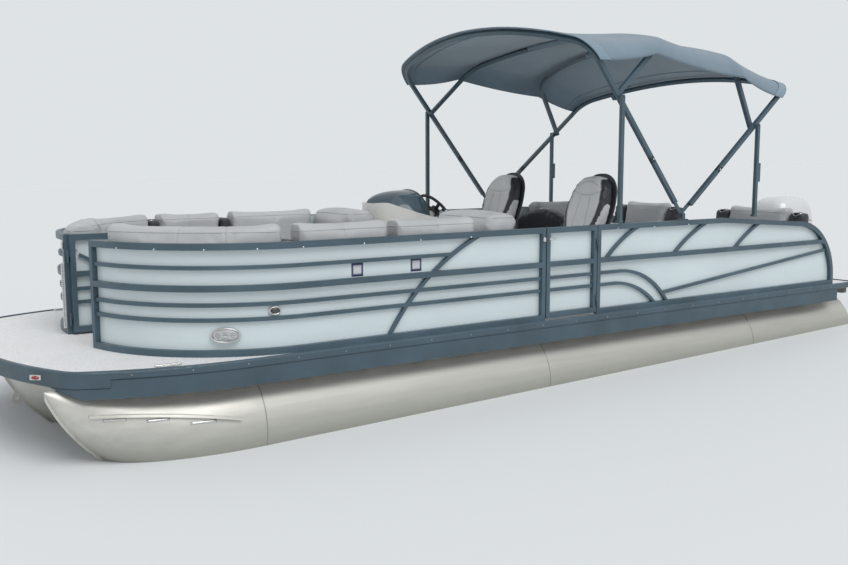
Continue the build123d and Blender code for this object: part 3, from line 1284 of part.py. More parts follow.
def gearcase(aft_x):
    """Torpedo from the propeller forwards, with a domed nose and a swept skeg."""
    nose_x = aft_x + CASE_LONG
    tip_x = nose_x + CASE_NOSE
    r = GEARCASE_R
    cap = r / 2
    cap_x = tip_x - cap
    bend = cap * math.sqrt(0.5)
    edges = [Line((aft_x, PROP_Z), (aft_x, PROP_Z + 0.8 * r)).edge(),
             Line((aft_x, PROP_Z + 0.8 * r), (aft_x + r, PROP_Z + r)).edge(),
             Line((aft_x + r, PROP_Z + r), (nose_x, PROP_Z + r)).edge(),
             Line((nose_x, PROP_Z + r), (cap_x, PROP_Z + cap)).edge(),
             ThreePointArc((cap_x, PROP_Z + cap), (cap_x + bend, PROP_Z + bend), (tip_x, PROP_Z)).edge(),
             Line((tip_x, PROP_Z), (aft_x, PROP_Z)).edge()]
    upright = Plane(origin=(0, 0, 0), x_dir=(1, 0, 0), z_dir=(0, -1, 0))
    case = revolve(upright * make_face(edges), Axis((0, 0, PROP_Z), (1, 0, 0)))
    skeg = [Line((nose_x - r, PROP_Z), (aft_x + r / 6, PROP_Z)).edge(),
            Line((aft_x + r / 6, PROP_Z), (aft_x - r / 3, SKEG_Z)).edge(),
            Line((aft_x - r / 3, SKEG_Z), (aft_x + r, SKEG_Z)).edge(),
            ThreePointArc((aft_x + r, SKEG_Z), (aft_x + 2 * r, SKEG_Z + 1.5 * r), (nose_x - r, PROP_Z)).edge()]
    return case + side_view(skeg, -SKEG_HALF, SKEG_HALF)


def motor_leg():
    """Midsection with its pan, plate, gearcase, steering shaft with its yokes, and propeller shaft."""
    body = loft([leg_section(*row) for row in LEG_ROWS])
    body += Pos(0, 0, -SEAT_GAP) * extrude(cowl_section(COWL_ROWS[0], 0), amount=-PAN_THICK)
    top_z = YOKES_Z[1][0]
    body += rod((SWIVEL_X, 0, YOKES_Z[0][0]), (SWIVEL_X, 0, top_z), SHAFT_R)
    for z0, z1 in YOKES_Z:
        body += box(LEG_ROWS[0][1] - YOKE_R, SWIVEL_X, -YOKE_R, YOKE_R, z0, z1)
        body += Pos(SWIVEL_X, 0, (z0 + z1) / 2) * Cylinder(YOKE_R, z1 - z0)
    x0, x1 = PLATE_X
    plate = Pos((x0 + x1) / 2, 0, PLATE_Z) * RectangleRounded(x1 - x0, 2 * PLATE_HALF, PLATE_HALF - 1)
    body += extrude(plate, amount=PLATE_THICK)
    case_x = PROP_X + PROP_LONG / 2 + 3
    body += gearcase(case_x)
    return body + rod((case_x + 5, 0, PROP_Z), (PROP_X - PROP_LONG / 2 - 20, 0, PROP_Z), PROP_SHAFT_R)


def cowl_section(row, inset):
    """Horizontal section of the cowl: height, front, back, half width and corner radius."""
    z, front, back, half, radius = row
    length, wide = front - back - 2 * inset, 2 * (half - inset)
    return Pos((front + back) / 2, 0, z) * RectangleRounded(length, wide, radius - inset)


def motor_cowl():
    """Hollow cowl lofted through rounded sections, open at the bottom."""
    outer = loft([cowl_section(row, 0) for row in COWL_ROWS])
    inner = loft([cowl_section(row, COWL_WALL) for row in COWL_ROWS])
    reach = -COWL_ROWS[0][2]
    return outer - (inner & box(-2 * reach, 0, -reach, reach, 0, COWL_ROWS[-1][0] - COWL_ROOF))


def engine():
    """Powerhead under the cowl, as one block."""
    z0 = COWL_BASE + SEAT_GAP
    front = LEG_ROWS[0][1]
    return box(front - ENGINE_LONG + 40, front + 40, -ENGINE_HALF, ENGINE_HALF, z0, z0 + ENGINE_HIGH)


def propeller():
    """Hub with three pitched blades and a bore for its shaft."""
    half = PROP_LONG / 2
    body = rod((PROP_X - half, 0, PROP_Z), (PROP_X + half, 0, PROP_Z), HUB_R)
    root = HUB_R - 8
    for i in range(3):
        disc = extrude(Ellipse(BLADE_HALF, (PROP_R - root) / 2), amount=BLADE_THICK / 2, both=True)
        blade = Pos(0, 0, (PROP_R + root) / 2) * Rot(0, 0, PROP_PITCH) * Rot(90, 0, 0) * disc
        body += Pos(PROP_X, 0, PROP_Z) * Rot(120 * i, 0, 0) * blade
    return body - rod((PROP_X - PROP_LONG, 0, PROP_Z), (PROP_X + PROP_LONG, 0, PROP_Z), PROP_SHAFT_R + SEAT_GAP)


def corner_light(s, z, long, high, depth):
    """Oval lamp on the curved corner of the fence."""
    x, y = path_point(s, 0)
    angle = math.pi / 2 - (s - CORNER_X) / CORNER_R
    plane = Plane(origin=(x, y, z), x_dir=(-math.sin(angle), math.cos(angle), 0),
                  z_dir=(math.cos(angle), math.sin(angle), 0))
    bar = extrude(plane * Ellipse(long / 2, high / 2), amount=2 * TUBE_WIDE, both=True)
    return bar & strip(s - long, s + long, -HALF_TUBE, depth - HALF_TUBE, z - high, z + high)


def cleat(x, inset):
    """Folding cleat, folded down: a plate with a rounded bar."""
    y = half_width(x) - inset
    plate = Pos(x, y, SEAT_FLOOR + CLEAT_PLATE / 2) * Box(CLEAT_LONG - 2 * CLEAT_WIDE / 2, CLEAT_WIDE, CLEAT_PLATE)
    z = SEAT_FLOOR + CLEAT_PLATE + CLEAT_BAR_R / 2
    reach = CLEAT_LONG / 2 - CLEAT_BAR_R
    bar = rod((x - reach, y, z), (x + reach, y, z), CLEAT_BAR_R)
    for end in (x - reach, x + reach):
        bar += Pos(end, y, z) * Sphere(CLEAT_BAR_R)
    return plate + bar


def pod():
    """Motor pod behind the centre tube, with its transom."""
    x1 = TUBE_AFT - SEAT_GAP + CENTRE_TUBE_LEAD
    top = CROSS_LOW - SEAT_GAP
    step_x = DECK_AFT - SEAT_GAP
    return side_poly([(TRANSOM_X, POD_LOW), (x1, POD_LOW - POD_KEEL_DROP), (x1, top), (step_x, top),
                      (step_x, TRANSOM_TOP), (TRANSOM_X, TRANSOM_TOP)], -POD_HALF, POD_HALF)


def hull():
    """Tubes, beams, deck, trim and motor pod."""
    parts = {}
    one_tube = tube()
    port_tube = Pos(0, TUBE_Y, 0) * (one_tube + strake())
    parts["tube_port"] = [port_tube]
    eye_x = keel_x(EYE_Z) + EYE_OUT
    half = KEEL_WIDE / 2
    parts["tube_centre"] = [Pos(CENTRE_TUBE_LEAD, 0, 0) * (one_tube + eye((eye_x, EYE_Z), -half, half,
                                                                          EYE_OUTER_R, EYE_BORE_R))]
    parts["tube_starboard"] = [mirrored(port_tube)]
    parts["crossbeams"] = crossbeams()
    parts["deck"] = [deck_slab(TRIM_WIDE, DECK_LOW, DECK_TOP)]
    bow_trim, stern_trim, port_trim = deck_trim()
    parts["end_trim"] = [bow_trim, stern_trim]
    parts["side_trim_port"] = [port_trim]
    parts["side_trim_starboard"] = [mirrored(port_trim)]
    parts["motor_pod"] = [pod()]
    return parts


def furniture():
    """Lounges, aft seats, helm and chairs."""
    parts = {}
    (port_base, port_cushions, port_arms), (star_base, star_cushions, star_arms) = bow_lounges()
    parts["bow_seat_base_port"] = [port_base]
    parts["bow_seat_base_starboard"] = [mirrored(star_base)]
    parts["bow_cushions_port"] = port_cushions
    parts["bow_cushions_starboard"] = [mirrored(c) for c in star_cushions]
    aft_bases, aft_cushions, aft_ends = aft_seats()
    parts["seat_arms"] = port_arms + [mirrored(a) for a in star_arms] + aft_ends
    parts["aft_seat_bases"] = aft_bases
    parts["aft_cushions"] = aft_cushions
    parts["console"] = [console() + wheel_column()]
    parts["windscreen"] = [windscreen()]
    parts["steering_wheel"] = [steering_wheel()]
    for name, y in (("starboard", HELM_Y), ("port", PORT_CHAIR_Y)):
        place = Pos(CHAIR_X, y, 0)
        parts["chair_shell_" + name] = [place * chair_shell()]
        parts["chair_cushions_" + name] = [place * cushion for cushion in chair_cushions()]
    parts["chair_pedestals"] = [pedestal(CHAIR_X, HELM_Y), pedestal(CHAIR_X, PORT_CHAIR_Y)]
    return parts


def main():
    parts = hull()
    parts.update(fence_parts())
    parts.update(furniture())

    mounts, bows, front_struts, rear_struts = bimini()
    parts["bimini_mounts"] = mounts
    parts["bimini_rear_bow"] = [bows["rear"]]
    parts["bimini_rear_mid_bow"] = [bows["rear_mid"]]
    parts["bimini_front_bow"] = [bows["front"]]
    parts["bimini_front_mid_bow"] = [bows["front_mid"]]
    parts["bimini_front_struts"] = front_struts
    parts["bimini_rear_struts"] = rear_struts
    parts["canopy"] = [canopy()]

    parts["outboard_clamp"] = [clamp_bracket()]
    parts["outboard_swivel"] = [swivel_bracket()]
    parts["outboard_leg"] = [motor_leg()]
    parts["outboard_cowl"] = [motor_cowl()]
    parts["outboard_engine"] = [engine()]
    parts["propeller"] = [propeller()]

    lamps = [corner_light(*row) for row in LAMPS]
    parts["corner_lights"] = lamps + [mirrored(lamp) for lamp in lamps]
    cleats = [cleat(x, inset) for x, inset in CLEATS]
    parts["cleats"] = cleats + [mirrored(piece) for piece in cleats]

    os.makedirs("parts", exist_ok=True)
    for name, solids in parts.items():
        pieces = [piece for solid in solids for piece in solid.solids()]
        shape = pieces[0] if len(pieces) == 1 else Compound(children=pieces)
        export_step(shape, "parts/" + name + ".step")
        size = shape.bounding_box()
        print(name, len(pieces), [round(v) for v in (*size.min, *size.max)])


main()
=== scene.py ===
"""Looks of a three-tube pontoon boat: its finishes, upholstery, canopy cloth and small fittings."""
import math
from collections import namedtuple

import bmesh
import bpy
from mathutils import Matrix, Vector
from mathutils.bvhtree import BVHTree
from mathutils.kdtree import KDTree


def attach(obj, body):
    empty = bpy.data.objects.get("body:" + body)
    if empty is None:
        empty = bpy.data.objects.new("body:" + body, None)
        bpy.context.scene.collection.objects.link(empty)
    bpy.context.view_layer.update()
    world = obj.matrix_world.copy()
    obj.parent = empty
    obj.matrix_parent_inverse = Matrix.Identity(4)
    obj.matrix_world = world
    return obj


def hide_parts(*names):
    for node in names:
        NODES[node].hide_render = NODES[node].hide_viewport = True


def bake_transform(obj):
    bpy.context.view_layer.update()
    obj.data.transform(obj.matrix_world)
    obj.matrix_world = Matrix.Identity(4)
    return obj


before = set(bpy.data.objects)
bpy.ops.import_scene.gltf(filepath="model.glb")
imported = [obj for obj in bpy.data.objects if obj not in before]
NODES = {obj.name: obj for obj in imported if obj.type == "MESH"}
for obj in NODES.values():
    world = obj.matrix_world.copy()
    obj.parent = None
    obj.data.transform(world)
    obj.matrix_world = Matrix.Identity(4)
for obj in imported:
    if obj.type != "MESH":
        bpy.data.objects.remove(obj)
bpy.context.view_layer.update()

# Directions in the boat's frame, and the two sides
AHEAD = Vector((1, 0, 0))
PORT = Vector((0, 1, 0))
UP = Vector((0, 0, 1))
SIDES = ((1, "port"), (-1, "starboard"))

# Camera of the photograph, in the boat's frame
CAMERA_AT = (7.562, 5.939, 1.517)
CAMERA_FORWARD = (-0.55433, -0.82228, -0.12871)
CAMERA_DOWN = (0.07427, 0.10516, -0.99168)
CAMERA_LENS = 39.05

# The calm water's surface, which the boat meets a little bow up
WATER_AT_X = 2.54
WATER_SLOPE = -0.0215

# Fence line in plan, as in the hull drawing
FENCE_Y = 1.215
CORNER_R = 1.005
CORNER_X = 5.195
CORNER_Y = FENCE_Y - CORNER_R
ARC_END = CORNER_X + CORNER_R * math.pi / 2

# Bimini bows: X and Z in side view, and sizes of the bent hoops
PIVOT = (1.98, 1.12)
FRONT_CROSS = (2.686, 1.981)
REAR_CROSS = (1.146, 1.809)
FRONT_CORNER = (2.888, 2.228)
REAR_CORNER = (0.864, 2.042)
FRONT_MID_CORNER = (2.336, 2.300)
REAR_MID_CORNER = (1.348, 2.204)
BOW_RISE = 0.130
REAR_MID_RISE = 0.100
CROWN = 0.235
BOW_BEND_R = 0.190
BOW_HALF = 0.016
MAIN_Y = 1.190

# Canopy cloth over the bows
CANOPY_LIFT = 0.021
CANOPY_DROP = 0.135
CANOPY_EDGE = 0.020
CANOPY_SAG = 0.018
CANOPY_THICK = 0.0016
CANOPY_ACROSS = 97
CANOPY_STEPS = 16

# Colours as linear values
SLATE = (0.048, 0.080, 0.102)
PANEL_WHITE = (0.62, 0.70, 0.72)
VINYL_LIGHT = (0.425, 0.435, 0.44)
VINYL_DARK = (0.035, 0.037, 0.043)
HULL_METAL = (0.60, 0.59, 0.545)
OXIDE = (0.68, 0.67, 0.63)
# Painted reflection: the tubes' colour near the water, darkened to stand in for the dark water they reflect
PAINTED_WATER_REFLECTION = (0.27, 0.275, 0.235)
DECK_BEIGE = (0.78, 0.79, 0.80)
DECK_WORN = (0.56, 0.54, 0.50)
CANVAS = (0.165, 0.225, 0.275)
GREIGE = (0.66, 0.67, 0.67)
SHELL_CREAM = (0.70, 0.70, 0.67)
COWL_WHITE = (0.62, 0.63, 0.64)
WATER_PALE = (0.68, 0.70, 0.71, 1)
SKY_LIGHT = (0.96, 0.98, 1.0, 1)
SKY_SEEN = (0.735, 0.768, 0.784, 1)


def link(name, data):
    """A new object at the origin, in the scene."""
    piece = bpy.data.objects.new(name, data)
    bpy.context.scene.collection.objects.link(piece)
    return piece


def aim_camera():
    """The photograph's camera."""
    data = bpy.data.cameras.new("camera")
    data.lens = CAMERA_LENS
    data.sensor_width = 36
    data.clip_end = 500
    camera = link("camera", data)
    forward = Vector(CAMERA_FORWARD).normalized()
    right = forward.cross(-Vector(CAMERA_DOWN)).normalized()
    turn = Matrix((right, right.cross(forward), -forward)).transposed()
    camera.matrix_world = Matrix.Translation(CAMERA_AT) @ turn.to_4x4()
    bpy.context.scene.camera = camera


def put(tree, kind, inputs=None, **settings):
    """Add a node to a tree; each input takes another node's socket or a plain value."""
    node = tree.nodes.new(kind)
    for name, value in settings.items():
        setattr(node, name, value)
    for name, value in (inputs or {}).items():
        if isinstance(value, bpy.types.NodeSocket):
            tree.links.new(value, node.inputs[name])
        else:
            node.inputs[name].default_value = value
    return node


def shades(colour, low, high):
    """A darker and a lighter tone of a colour."""
    return tuple(c * low for c in colour), tuple(min(c * high, 1) for c in colour)


def toned(colour, share):
    return tuple(c * share for c in colour)


class Look:
    """A material in the making: its node tree, its shader and the coordinates of the object."""

    def __init__(self, name):
        self.material = bpy.data.materials.new(name)
        self.material.use_nodes = True
        self.tree = self.material.node_tree
        self.shader = self.tree.nodes["Principled BSDF"]
        self.place = put(self.tree, "ShaderNodeTexCoord").outputs["Object"]

    def set(self, name, value):
        """Give an input of the shader a socket or a plain value."""
        if isinstance(value, bpy.types.NodeSocket):
            self.tree.links.new(value, self.shader.inputs[name])
        else:
            self.shader.inputs[name].default_value = value

    def noise(self, scale, detail=3, stretch=None, rough=0.55):
        """Cloudy values, in the object's coordinates or those coordinates scaled by stretch."""
        place = self.place
        if stretch:
            place = put(self.tree, "ShaderNodeMapping", {"Vector": place, "Scale": stretch}).outputs["Vector"]
        values = {"Vector": place, "Scale": scale, "Detail": detail, "Roughness": rough}
        return put(self.tree, "ShaderNodeTexNoise", values).outputs["Fac"]

    def weave(self, operation, scale, distortion=0):
        """Threads along X and Y, crossed by an operation."""
        waves = []
        for axis in "XY":
            values = {"Vector": self.place, "Scale": scale, "Distortion": distortion}
            wave = put(self.tree, "ShaderNodeTexWave", values, bands_direction=axis)
            waves.append(wave.outputs["Fac"])
        return self.worked(operation, *waves)

    def worked(self, operation, *values):
        """The result of an operation on numbers or sockets."""
        node = put(self.tree, "ShaderNodeMath", dict(enumerate(values)), operation=operation)
        return node.outputs["Value"]

    def ramp(self, value, *stops):
        """Colour ramp from (position, colour or grey) stops."""
        node = put(self.tree, "ShaderNodeValToRGB", {"Fac": value})
        band = node.color_ramp
        while len(band.elements) < len(stops):
            band.elements.new(0.5)
        for element, (at, colour) in zip(band.elements, stops):
            element.position = at
            shade = (colour,) * 3 if isinstance(colour, (int, float)) else colour
            element.color = (*shade, 1)
        return node.outputs["Color"]

    def mixed(self, share, first, second):
        """A colour that goes from a socket's to a plain one as the share grows."""
        node = put(self.tree, "ShaderNodeMix", {"Factor": share}, data_type="RGBA")
        below, above = [s for s in node.inputs if s.type == "RGBA"]
        self.tree.links.new(first, below)
        above.default_value = (*second, 1)
        return next(s for s in node.outputs if s.type == "RGBA")

    def bump(self, height, strength, depth, onto=None):
        """Relief on the shader, on top of another relief if one is given."""
        node = put(self.tree, "ShaderNodeBump", {"Strength": strength, "Distance": depth, "Height": height})
        if onto is not None:
            self.tree.links.new(onto, node.inputs["Normal"])
        self.set("Normal", node.outputs["Normal"])
        return node.outputs["Normal"]


def surface(name, tones, cloud, spread, rough, relief=None, extra=None):
    """A material with two tones over a noise, a roughness, a relief and other shader inputs.

    A noise is a row of Look.noise values. rough is a number, or a noise and its two stops, and relief
    is a noise with its strength and depth.
    """
    look = Look(name)
    look.set("Base Color", look.ramp(look.noise(*cloud), *zip(spread, tones)))
    if isinstance(rough, tuple):
        pattern, *stops = rough
        rough = look.ramp(look.noise(*pattern), *stops)
    look.set("Roughness", rough)
    for label, value in (extra or {}).items():
        look.set(label, value)
    if relief:
        pattern, strength, depth = relief
        look.bump(look.noise(*pattern), strength, depth)
    return look.material


def powder_coat(name, colour, rough=0.38):
    """Powder-coated tube: fine orange peel and faint chalking."""
    chalk = ((11,), (0.3, rough - 0.07), (0.7, rough + 0.1))
    return surface(name, shades(colour, 0.8, 1.25), (3.0, 4), (0.3, 0.72), chalk, ((900, 2), 0.12, 0.0004))


def painted_panel(name, colour):
    """Coated aluminium fence skin with soft cloudy reflections and slight ripples."""
    tones = shades(colour, 0.93, 1.05)
    cloud = (1.6, 3, (0.7, 0.7, 2.2))
    ripples = ((3.2, 2, (0.5, 0.5, 1.6)), 0.25, 0.004)
    return surface(name, tones, cloud, (0.25, 0.75), 0.28, ripples, {"Coat Weight": 0.25})


def gelcoat(name, colour, rough=0.2, coat=0.6):
    """Glossy moulded finish with faint handling haze."""
    haze = ((14, 4), (0.35, rough), (0.75, rough + 0.16))
    waves = ((24, 2), 0.02, 0.0006)
    return surface(name, shades(colour, 0.94, 1.04), (2.2, 3), (0.3, 0.7), haze, waves, {"Coat Weight": coat})


def moulded_plastic(name, colour, rough=0.5):
    """Textured rotomoulded plastic."""
    return surface(name, shades(colour, 0.9, 1.06), (5, 4), (0.3, 0.7), rough, ((380, 2), 0.25, 0.0005))


def bright_metal(name, colour, rough=0.22, metallic=1.0):
    """Polished or brushed fitting."""
    tones = shades(colour, 0.85, 1.08)
    brushed = (6, 4, (4, 40, 40))
    gloss = (brushed, (0.3, rough), (0.7, rough + 0.12))
    relief = (brushed, 0.06, 0.0004)
    return surface(name, tones, brushed, (0.3, 0.7), gloss, relief, {"Metallic": metallic})


def smoked_acrylic(name):
    """Tinted windscreen sheet."""
    tones = ((0.10, 0.15, 0.18), (0.14, 0.20, 0.235))
    clear = {"Transmission Weight": 0.55, "IOR": 1.45}
    return surface(name, tones, (3,), (0.3, 0.7), 0.06, ((5, 2), 0.03, 0.001), clear)


def clear_lens(name, colour, rough=0.05):
    """Moulded lamp lens with fine flutes."""
    flutes = ((8, 1, (1, 1, 60)), 0.3, 0.0008)
    clear = {"Transmission Weight": 0.3, "Coat Weight": 0.8}
    return surface(name, shades(colour, 0.85, 1.1), (40, 2), (0.3, 0.7), rough, flutes, clear)


def printed_film(name, colour):
    """Blank adhesive film, slightly scuffed."""
    scuffs = ((60, 3), (0.3, 0.3), (0.7, 0.5))
    return surface(name, shades(colour, 0.9, 1.06), (24, 4), (0.35, 0.7), scuffs, ((90, 2), 0.05, 0.0003))


def screen_glass(name, colour):
    """Dark display glass with a faint smeared sheen."""
    smears = ((30, 4), (0.35, 0.06), (0.75, 0.2))
    return surface(name, shades(colour, 0.8, 1.3), (20, 4), (0.35, 0.7), smears, None, {"Coat Weight": 0.6})


def mill_aluminium(name, colour):
    """Drawn aluminium with faint lengthwise streaks, dull oxide clouds and a darker band at the water, a painted
    reflection of the dark water.
    """
    look = Look(name)
    streak = look.noise(3.0, 5, (0.35, 9, 9), 0.6)
    cloud = look.noise(1.7, 4, (0.5, 1, 1), 0.6)
    drawn = look.ramp(streak, *zip((0.25, 0.75), shades(colour, 0.9, 1.07)))
    dulled = look.mixed(look.ramp(cloud, (0.42, 0.0), (0.72, 0.45)), drawn, OXIDE)
    # Painted reflection of the dark water: the colour darkens towards the waterline
    at = put(look.tree, "ShaderNodeSeparateXYZ", {"Vector": look.place}).outputs
    level = look.worked("MULTIPLY_ADD", at["X"], -WATER_SLOPE, at["Z"])
    wobble = look.worked("MULTIPLY_ADD", look.noise(2.5, 4, (2.5, 2.5, 9)), 0.05, level)
    painted_reflection = look.ramp(wobble, (0.03, 0.85), (0.11, 0.62), (0.30, 0.0))
    look.set("Base Color", look.mixed(painted_reflection, dulled, PAINTED_WATER_REFLECTION))
    look.set("Metallic", 0.5)
    look.set("Roughness", look.ramp(cloud, (0.3, 0.36), (0.7, 0.5)))
    look.bump(streak, 0.05, 0.001)
    return look.material


def woven_vinyl(name, colour):
    """Woven vinyl flooring: crossed ribs a few millimetres apart with mottled yarn."""
    look = Look(name)
    yarn = look.ramp(look.noise(260, 2), *zip((0.35, 0.65), shades(colour, 0.72, 1.12)))
    wear = look.ramp(look.noise(1.4, 4), (0.4, 0.0), (0.75, 0.3))
    look.set("Base Color", look.mixed(wear, yarn, DECK_WORN))
    look.set("Roughness", 0.75)
    look.bump(look.weave("MULTIPLY", 48, 0.4), 0.5, 0.0012)
    return look.material


def marine_vinyl(name, colour, rough=0.46):
    """Upholstery vinyl: pebbled grain, creases and a soft sheen."""
    look = Look(name)
    look.set("Base Color", look.ramp(look.noise(2.6, 4), *zip((0.3, 0.7), shades(colour, 0.88, 1.08))))
    look.set("Roughness", look.ramp(look.noise(7), (0.3, rough - 0.06), (0.7, rough + 0.1)))
    grain = put(look.tree, "ShaderNodeTexVoronoi", {"Vector": look.place, "Scale": 420})
    creases = look.bump(look.noise(6, 3, (1, 1, 1.8), 0.5), 0.1, 0.005)
    look.bump(grain.outputs["Distance"], 0.18, 0.0005, creases)
    return look.material


def canvas(name, colour):
    """Solution-dyed canopy canvas: plain weave, faded patches and stretched wrinkles."""
    look = Look(name)
    faded = look.noise(1.9, 5, rough=0.6)
    look.set("Base Color", look.ramp(faded, *zip((0.3, 0.7), shades(colour, 0.9, 1.14))))
    look.set("Roughness", 0.86)
    look.set("Sheen Weight", 0.25)
    look.set("Sheen Roughness", 0.5)
    wrinkles = look.bump(look.noise(4, 3, (0.8, 3.2, 1)), 0.3, 0.01)
    look.bump(look.weave("ADD", 130), 0.25, 0.0006, wrinkles)
    return look.material


rail_paint = powder_coat("rail_paint", toned(SLATE, 1.2))
trim_paint = powder_coat("trim_paint", toned(SLATE, 1.05), 0.42)
panel_paint = painted_panel("panel_paint", PANEL_WHITE)
hull_metal = mill_aluminium("hull_metal", HULL_METAL)
deck_weave = woven_vinyl("deck_weave", DECK_BEIGE)
seat_vinyl = marine_vinyl("seat_vinyl", VINYL_LIGHT)
dark_vinyl = marine_vinyl("dark_vinyl", VINYL_DARK, 0.42)
chair_face = marine_vinyl("chair_face", GREIGE)
piping_light = marine_vinyl("piping_light", toned(VINYL_LIGHT, 0.94), 0.4)
piping_dark = marine_vinyl("piping_dark", toned(VINYL_DARK, 0.8), 0.4)
canopy_canvas = canvas("canopy_canvas", CANVAS)
hem_canvas = canvas("hem_canvas", toned(CANVAS, 1.15))
seat_shell = moulded_plastic("seat_shell", SHELL_CREAM)
seam_shadow = moulded_plastic("seam_shadow", toned(SHELL_CREAM, 0.35), 0.6)
grip_rubber = moulded_plastic("grip_rubber", (0.02, 0.02, 0.022), 0.55)
black_trim = moulded_plastic("black_trim", (0.014, 0.015, 0.017), 0.42)
console_gel = gelcoat("console_gel", SHELL_CREAM, 0.3, 0.3)
cowl_paint = gelcoat("cowl_paint", COWL_WHITE)
leg_paint = gelcoat("leg_paint", toned(COWL_WHITE, 0.95), 0.3, 0.3)
screen_tint = smoked_acrylic("screen_tint")
post_metal = bright_metal("post_metal", (0.55, 0.56, 0.57), 0.3)
steel = bright_metal("steel", (0.70, 0.70, 0.69), 0.16)
engine_cast = bright_metal("engine_cast", (0.12, 0.12, 0.13), 0.5, 0.6)
weld_metal = bright_metal("weld_metal", (0.46, 0.45, 0.42), 0.34, 0.8)
lamp_lens = clear_lens("lamp_lens", (0.55, 0.57, 0.58))
lamp_dark = clear_lens("lamp_dark", (0.05, 0.055, 0.06))
lamp_glow = clear_lens("lamp_glow", (0.80, 0.82, 0.84), 0.12)
red_lens = clear_lens("red_lens", (0.42, 0.02, 0.02))
green_lens = clear_lens("green_lens", (0.02, 0.25, 0.09))
blank_film = printed_film("blank_film", (0.58, 0.60, 0.62))
film_border = printed_film("film_border", (0.055, 0.075, 0.16))
stripe_film = printed_film("stripe_film", (0.30, 0.32, 0.35))
gauge_face = printed_film("gauge_face", (0.030, 0.032, 0.036))
display = screen_glass("display", (0.012, 0.014, 0.018))

# Finishes of the CAD nodes by a part of their names: the first row that fits counts
NODE_FINISH = (("skin", panel_paint), ("tube_", hull_metal), ("crossbeams", hull_metal),
               ("motor_pod", hull_metal), ("deck", deck_weave), ("trim", trim_paint), ("console", console_gel),
               ("windscreen", screen_tint), ("steering_wheel", grip_rubber), ("pedestals", post_metal),
               ("outboard_cowl", cowl_paint), ("outboard_engine", engine_cast), ("outboard", leg_paint),
               ("propeller", steel), ("corner_lights", steel), ("cleats", steel), ("seat_base", seat_shell),
               ("chair_shell", dark_vinyl), ("fence", rail_paint), ("gate", rail_paint),
               ("bimini", rail_paint))


def finish_nodes():
    """Give each CAD node its finish."""
    for name, node in NODES.items():
        finish = next((look for part, look in NODE_FINISH if part in name), None)
        if finish is not None:
            node.data.materials.clear()
            node.data.materials.append(finish)


def plain_mesh(name, points, edges=(), faces=(), finish=None):
    mesh = bpy.data.meshes.new(name)
    mesh.from_pydata([tuple(p) for p in points], edges, faces)
    if finish is not None:
        mesh.materials.append(finish)
    return mesh


def islands(node):
    """The separate solids of a CAD node as plain meshes, from stern to bow."""
    source = bmesh.new()
    source.from_mesh(NODES[node].data)
    bmesh.ops.remove_doubles(source, verts=source.verts, dist=1e-5)
    left = set(source.verts)
    found = []
    while left:
        seed = left.pop()
        group, queue = {seed}, [seed]
        while queue:
            for edge in queue.pop().link_edges:
                for vert in edge.verts:
                    if vert in left:
                        left.discard(vert)
                        group.add(vert)
                        queue.append(vert)
        found.append(group)
    meshes = []
    for group in found:
        order = {v: i for i, v in enumerate(sorted(group, key=lambda v: v.index))}
        faces = [[order[v] for v in face.verts] for face in source.faces if face.verts[0] in group]
        mesh = plain_mesh(node, [v.co for v in order], faces=faces)
        centre = sum((v.co for v in mesh.vertices), Vector()) / len(mesh.vertices)
        meshes.append((round(centre.x, 3), round(centre.y, 3), mesh))
    source.free()
    return [mesh for _, _, mesh in sorted(meshes, key=lambda row: row[:2])]


def grid_mesh(name, rows, finish):
    """A sheet of four-sided faces through rows of points."""
    wide = len(rows[0])
    faces = []
    for i in range(len(rows) - 1):
        for j in range(wide - 1):
            k = i * wide + j
            faces.append((k, k + wide, k + wide + 1, k + 1))
    return plain_mesh(name, [p for row in rows for p in row], faces=faces, finish=finish)


def evaluated(piece):
    """The mesh that a piece's modifiers give."""
    bpy.context.view_layer.update()
    return bpy.data.meshes.new_from_object(piece.evaluated_get(bpy.context.evaluated_depsgraph_get()))


def modify(piece, kind, **settings):
    step = piece.modifiers.new(kind.lower(), kind)
    for name, value in settings.items():
        setattr(step, name, value)
    return step


def baked(piece):
    """The evaluated mesh of a piece, with its modifiers taken off."""
    mesh = evaluated(piece)
    piece.modifiers.clear()
    piece.data = mesh
    return mesh


def thickened(name, mesh, thick, offset):
    """A smooth piece from a sheet, which stays in its middle with offset 0 and at its bottom with 1."""
    piece = link(name, mesh)
    modify(piece, "SOLIDIFY", thickness=thick, offset=offset)
    baked(piece).shade_smooth()
    return piece


def riding(piece, body):
    """Fix a piece to a body; a piece given the body 'cloth' has its transform baked into its mesh instead."""
    if body == "cloth":
        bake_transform(piece)
    else:
        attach(piece, body)
    return piece


def along(s, d=0.0, side=1):
    """Plan point at distance s along the fence line, d outside it; side is 1 to port and -1 to starboard."""
    if s <= CORNER_X:
        x, y = s, FENCE_Y + d
    elif s <= ARC_END:
        angle = math.pi / 2 - (s - CORNER_X) / CORNER_R
        x, y = CORNER_X + (CORNER_R + d) * math.cos(angle), CORNER_Y + (CORNER_R + d) * math.sin(angle)
    else:
        x, y = CORNER_X + CORNER_R + d, CORNER_Y - (s - ARC_END)
    return x, side * y


def facing(s, side=1):
    """Unit vector out of the fence at distance s along it."""
    angle = math.pi / 2 - (min(max(s, CORNER_X), ARC_END) - CORNER_X) / CORNER_R
    return Vector((math.cos(angle), side * math.sin(angle), 0))


def turns(count, whole=2 * math.pi):
    """Angles in even steps over a circle or a part of it, with both ends."""
    return [whole * k / count for k in range(count + 1)]


def shares(count):
    return [k / count for k in range(count + 1)]


def oval(centre, across, up, half_wide, half_high, count):
    """Points of an oval that ends where it starts."""
    middle = Vector(centre)
    return [middle + across * half_wide * math.cos(t) + up * half_high * math.sin(t) for t in turns(count)]


